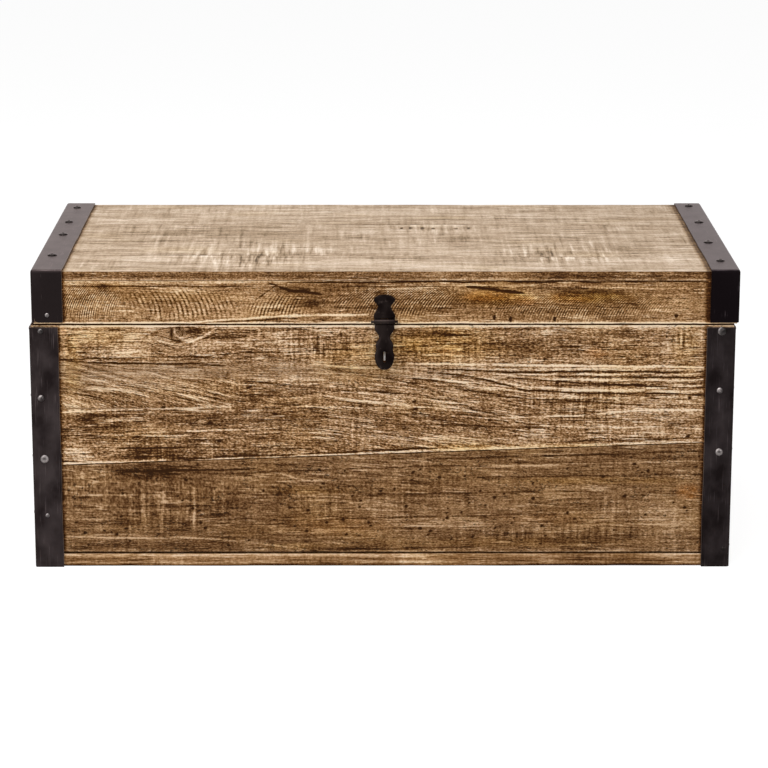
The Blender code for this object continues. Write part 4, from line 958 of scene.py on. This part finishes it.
# One nail head, turned about its own axis and stood on the iron at a place
def addDome(bm, highlightAndWearLayer, place, out, look, index):
    chance = random.Random(index)
    radius, rise, dimple, highlightAndWear = nailLooks[look][:4]
    radius *= chance.uniform(*domeShape["radiusSpread"])
    dimple *= chance.uniform(*domeShape["dimpleSpread"])
    pocket = radius * domeShape["ringDimple" if look in ringLooks else "dimple"]
    floor = domeShape["dimpleFloor"]
    outline = [(domeShape["footShare"] * radius, domeShape["foot"]), (radius, domeShape["belt"])]
    for angle in domeShape["angles"]:
        turn = math.radians(angle)
        outline.append((radius * math.cos(turn), rise * math.sin(turn)))
    outline += [(pocket, rise), (pocket * floor, rise - floor * dimple), (0, rise - dimple)]
    first = len(bm.verts)
    verts = [bm.verts.new((r, 0, z)) for r, z in outline]
    edges = [bm.edges.new(pair) for pair in zip(verts, verts[1:])]
    bmesh.ops.spin(bm, geom=verts + edges, axis=(0, 0, 1), angle=math.tau, steps=domeShape["turns"],
                   use_merge=True)
    bm.verts.ensure_lookup_table()
    fresh = bm.verts[first:]
    stand = Vector(out).to_track_quat("Z", "Y").to_matrix()
    nudge = Vector([chance.uniform(-highlightSpread, highlightSpread) for k in range(3)])
    # The crescent of painted highlight faces this side; a ring look paints a pale ring instead
    side = stand.transposed() @ (highlightSide + nudge)
    for vert in fresh:
        reach = math.hypot(vert.co.x, vert.co.y) / radius
        if look in ringLooks:
            shown = smoothStep(*domeShape["ringSpan"], reach)
        else:
            shown = smoothStep(*domeShape["crescentSpan"], (vert.co.x * side.x + vert.co.y * side.y) / radius)
        vert[highlightAndWearLayer] = highlightAndWear * shown * (1 - smoothStep(domeShape["rim"], 1.0, reach))
        if 0.2 < vert.co.z < rise - 0.01:
            size = domeShape["dentCells"]
            vert.co.z += domeShape["dents"] * drift(vert.co.x + index * 40, vert.co.y, size, size, index)
    bmesh.ops.transform(bm, matrix=Matrix.Translation(place) @ stand.to_4x4(), verts=fresh)


# The heads that share a look and a body are one piece. A spot is a place and the way it looks.
def makeNails(name, body, look, spots, nodes=()):
    bm = bmesh.new()
    highlightAndWearLayer = bm.verts.layers.float.new("highlightAndWear")
    for index, (place, out) in enumerate(spots):
        addDome(bm, highlightAndWearLayer, Vector(place), out, look, index + 7 * len(name))
    bmesh.ops.remove_doubles(bm, verts=bm.verts, dist=0.01)
    bmesh.ops.scale(bm, vec=(mm, mm, mm), verts=bm.verts)
    bmesh.ops.recalc_face_normals(bm, faces=bm.faces)
    material = nailLooks[look][-1]
    return finishPiece(name, bm, irons[material], body, nodes, smoothAngle=80)


# Where the head of a nail of the frame stands on its iron
def footOf(node, out):
    low, high = cadBox(node)
    middle, half = (low + high) / 2, (high - low) / 2
    return middle + Vector(out) * (abs(half.dot(Vector(out))) - headHeight)


front, back, up = (0, -1, 0), (0, 1, 0), (0, 0, 1)
nailNodes = [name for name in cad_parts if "nail" in name]
cornerNodes = [name for name in nailNodes if "corner" in name]
topNodes = [name for name in nailNodes if name.startswith("lid") and "tab" not in name]
haspNodes = [name for name in nailNodes if name.startswith("hasp")]
for lookName in ("bright", "ring", "tack", "dull", "faint", "broad"):
    nodes = [name for name in cornerNodes if cornerLooks.get(name, "dull") == lookName]
    spots = [(footOf(name, front), front) for name in nodes]
    makeNails(f"front_corner_nails_{lookName}", "case", lookName, spots, nodes)
tabNode = "lid_left_iron_tab_nail"
makeNails("lid_tab_nail", "lid", cornerLooks[tabNode], [(footOf(tabNode, front), front)], [tabNode])
makeNails("lid_strap_nails", "lid", "strap", [(footOf(n, up), up) for n in topNodes], topNodes)
makeNails("hasp_nails", "lid", "hasp", [(footOf(n, front), front) for n in haspNodes], haspNodes)

# The nails out of the photograph's view, in the other flanges, the hinges and the handles
flangeNails = {"lid": (-205, -75, 75, 205), "lidDrop": 24, "tabDrop": 55, "inset": 20}
hingeNails = {"apart": 24, "fromEdge": 9, "leaf": 2.0}
handleNails = {"inset": 8, "up": 9, "lug": 14.1}
caseSpots, lidSpots, hingeCaseSpots, hingeLidSpots, handleSpots = [], [], [], [], []
for side, way in (("left", -1), ("right", 1)):
    sideways = (way, 0, 0)
    strapLow, strapHigh = cadBox(f"lid_{side}_iron")
    outer = strapLow.x if way < 0 else strapHigh.x
    flangeZ, tabZ = strapHigh.z - flangeNails["lidDrop"], strapHigh.z - flangeNails["tabDrop"]
    lidSpots += [((outer, place, flangeZ), sideways) for place in flangeNails["lid"]]
    lidSpots.append(((outer - way * flangeNails["inset"], strapHigh.y, tabZ), back))
    for endName, turn in (("front", -1), ("back", 1)):
        low, high = cadBox(f"{endName}_{side}_corner_iron")
        cornerX, cornerY = low.x if way < 0 else high.x, low.y if turn < 0 else high.y
        for node in cornerNodes:
            if side in node:
                height = footOf(node, front).z
                caseSpots.append(((cornerX, cornerY - turn * flangeNails["inset"], height), sideways))
                if turn > 0:
                    caseSpots.append(((cornerX - way * flangeNails["inset"], cornerY, height), back))
    for leaf, spots in (("case", hingeCaseSpots), ("lid", hingeLidSpots)):
        low, high = cadBox(f"hinge_{side}_{leaf}_leaf")
        height = low.z + hingeNails["fromEdge"] if leaf == "case" else high.z - hingeNails["fromEdge"]
        spots += [(((low.x + high.x) / 2 + k * hingeNails["apart"], low.y + hingeNails["leaf"], height), back)
                  for k in (-1, 0, 1)]
    low, high = cadBox(f"handle_{side}_plate")
    face = (low.x if way < 0 else high.x) - way * handleNails["lug"]
    middle, reach = (low.z + high.z) / 2, high.y - handleNails["inset"]
    handleSpots += [((face, end * reach, middle + turn * handleNails["up"]), sideways)
                    for end in (-1, 1) for turn in (-1, 1)]
makeNails("case_flange_nails", "case", "dull", caseSpots)
makeNails("lid_flange_nails", "lid", "dull", lidSpots)
makeNails("hinge_case_nails", "case", "small", hingeCaseSpots)
makeNails("hinge_lid_nails", "lid", "small", hingeLidSpots)
makeNails("handle_nails", "case", "small", handleSpots)


# Studio: a white floor, a white sky, a broad lamp overhead and softer ones at the front

print("studio")
studio = {
    "sky": 0.3, "paper": (0.9, 0.9, 0.9, 1), "floorGlow": 0.7, "glowStrength": 1.25, "floorReach": 40,
    "aim": 200,
    "lamps": (
        {"name": "overhead", "place": (-600, -900, 3200), "size": 3.0, "watts": 110},
        {"name": "front left", "place": (-2600, -3400, 1900), "size": 2.2, "watts": 38},
        {"name": "front right", "place": (2600, -3200, 1700), "size": 2.2, "watts": 20},
    ),
}


def makeStudio():
    world = bpy.data.worlds.new("white studio")
    bpy.context.scene.world = world
    world.use_nodes = True
    tree = world.node_tree
    path = addNode(tree, "ShaderNodeLightPath").outputs
    shown = reckon(tree, "MAXIMUM", path["Is Camera Ray"], path["Is Glossy Ray"])
    shown = reckon(tree, "MAXIMUM", shown, path["Is Transmission Ray"])
    level = addNode(tree, "ShaderNodeMix", {0: shown, 2: studio["sky"], 3: 1.0}, data_type="FLOAT")
    background = tree.nodes["Background"]
    background.inputs["Color"].default_value = (1, 1, 1, 1)
    tree.links.new(level.outputs[0], background.inputs["Strength"])

    # White paper, which shows the camera some of its own white, so that it is white right up to the trunk
    material = bpy.data.materials.new("white studio floor")
    material.use_nodes = True
    tree = material.node_tree
    tree.nodes.clear()
    paper = addNode(tree, "ShaderNodeBsdfDiffuse", {"Color": studio["paper"]})
    glow = addNode(tree, "ShaderNodeEmission", {"Color": (1, 1, 1, 1), "Strength": studio["glowStrength"]})
    seen = addNode(tree, "ShaderNodeLightPath").outputs["Is Camera Ray"]
    share = reckon(tree, "MULTIPLY", seen, studio["floorGlow"])
    mixed = addNode(tree, "ShaderNodeMixShader", {0: share, 1: paper.outputs[0], 2: glow.outputs[0]})
    addNode(tree, "ShaderNodeOutputMaterial", {"Surface": mixed.outputs[0]})
    bm = bmesh.new()
    bmesh.ops.create_grid(bm, x_segments=1, y_segments=1, size=studio["floorReach"])
    mesh = bpy.data.meshes.new("floor")
    bm.to_mesh(mesh)
    bm.free()
    mesh.materials.append(material)
    floor = bpy.data.objects.new("floor", mesh)
    bpy.context.collection.objects.link(floor)
    floor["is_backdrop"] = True

    for lamp in studio["lamps"]:
        data = bpy.data.lights.new(lamp["name"], "AREA")
        data.size = lamp["size"]
        data.energy = lamp["watts"]
        item = bpy.data.objects.new(lamp["name"], data)
        item.location = Vector(lamp["place"]) * mm
        toTrunk = Vector((0, 0, studio["aim"] * mm)) - item.location
        item.rotation_euler = toTrunk.to_track_quat("-Z", "Y").to_euler()
        bpy.context.collection.objects.link(item)


# The photograph's camera, fitted to the edges of the lid and the front; angles in degrees
cameraFit = {
    "place": (-19.7, -4255.3, 1270.7), "turn": -0.310, "tilt": -14.037, "roll": -0.062,
    "lens": 135.97, "sensor": 36,
}


def makeCamera():
    data = bpy.data.cameras.new("camera")
    data.lens = cameraFit["lens"]
    data.sensor_width = cameraFit["sensor"]
    camera = bpy.data.objects.new("camera", data)
    turn = Matrix.Rotation(math.radians(cameraFit["turn"]), 3, "Z")
    tilt = Matrix.Rotation(math.radians(90 + cameraFit["tilt"]), 3, "X")
    roll = Matrix.Rotation(math.radians(-cameraFit["roll"]), 3, "Z")
    camera.rotation_euler = (turn @ tilt @ roll).to_euler()
    camera.location = Vector(cameraFit["place"]) * mm
    bpy.context.collection.objects.link(camera)
    bpy.context.scene.camera = camera
    bpy.context.scene.view_settings.view_transform = "Standard"


makeStudio()
makeCamera()

low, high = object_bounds()
print("done")
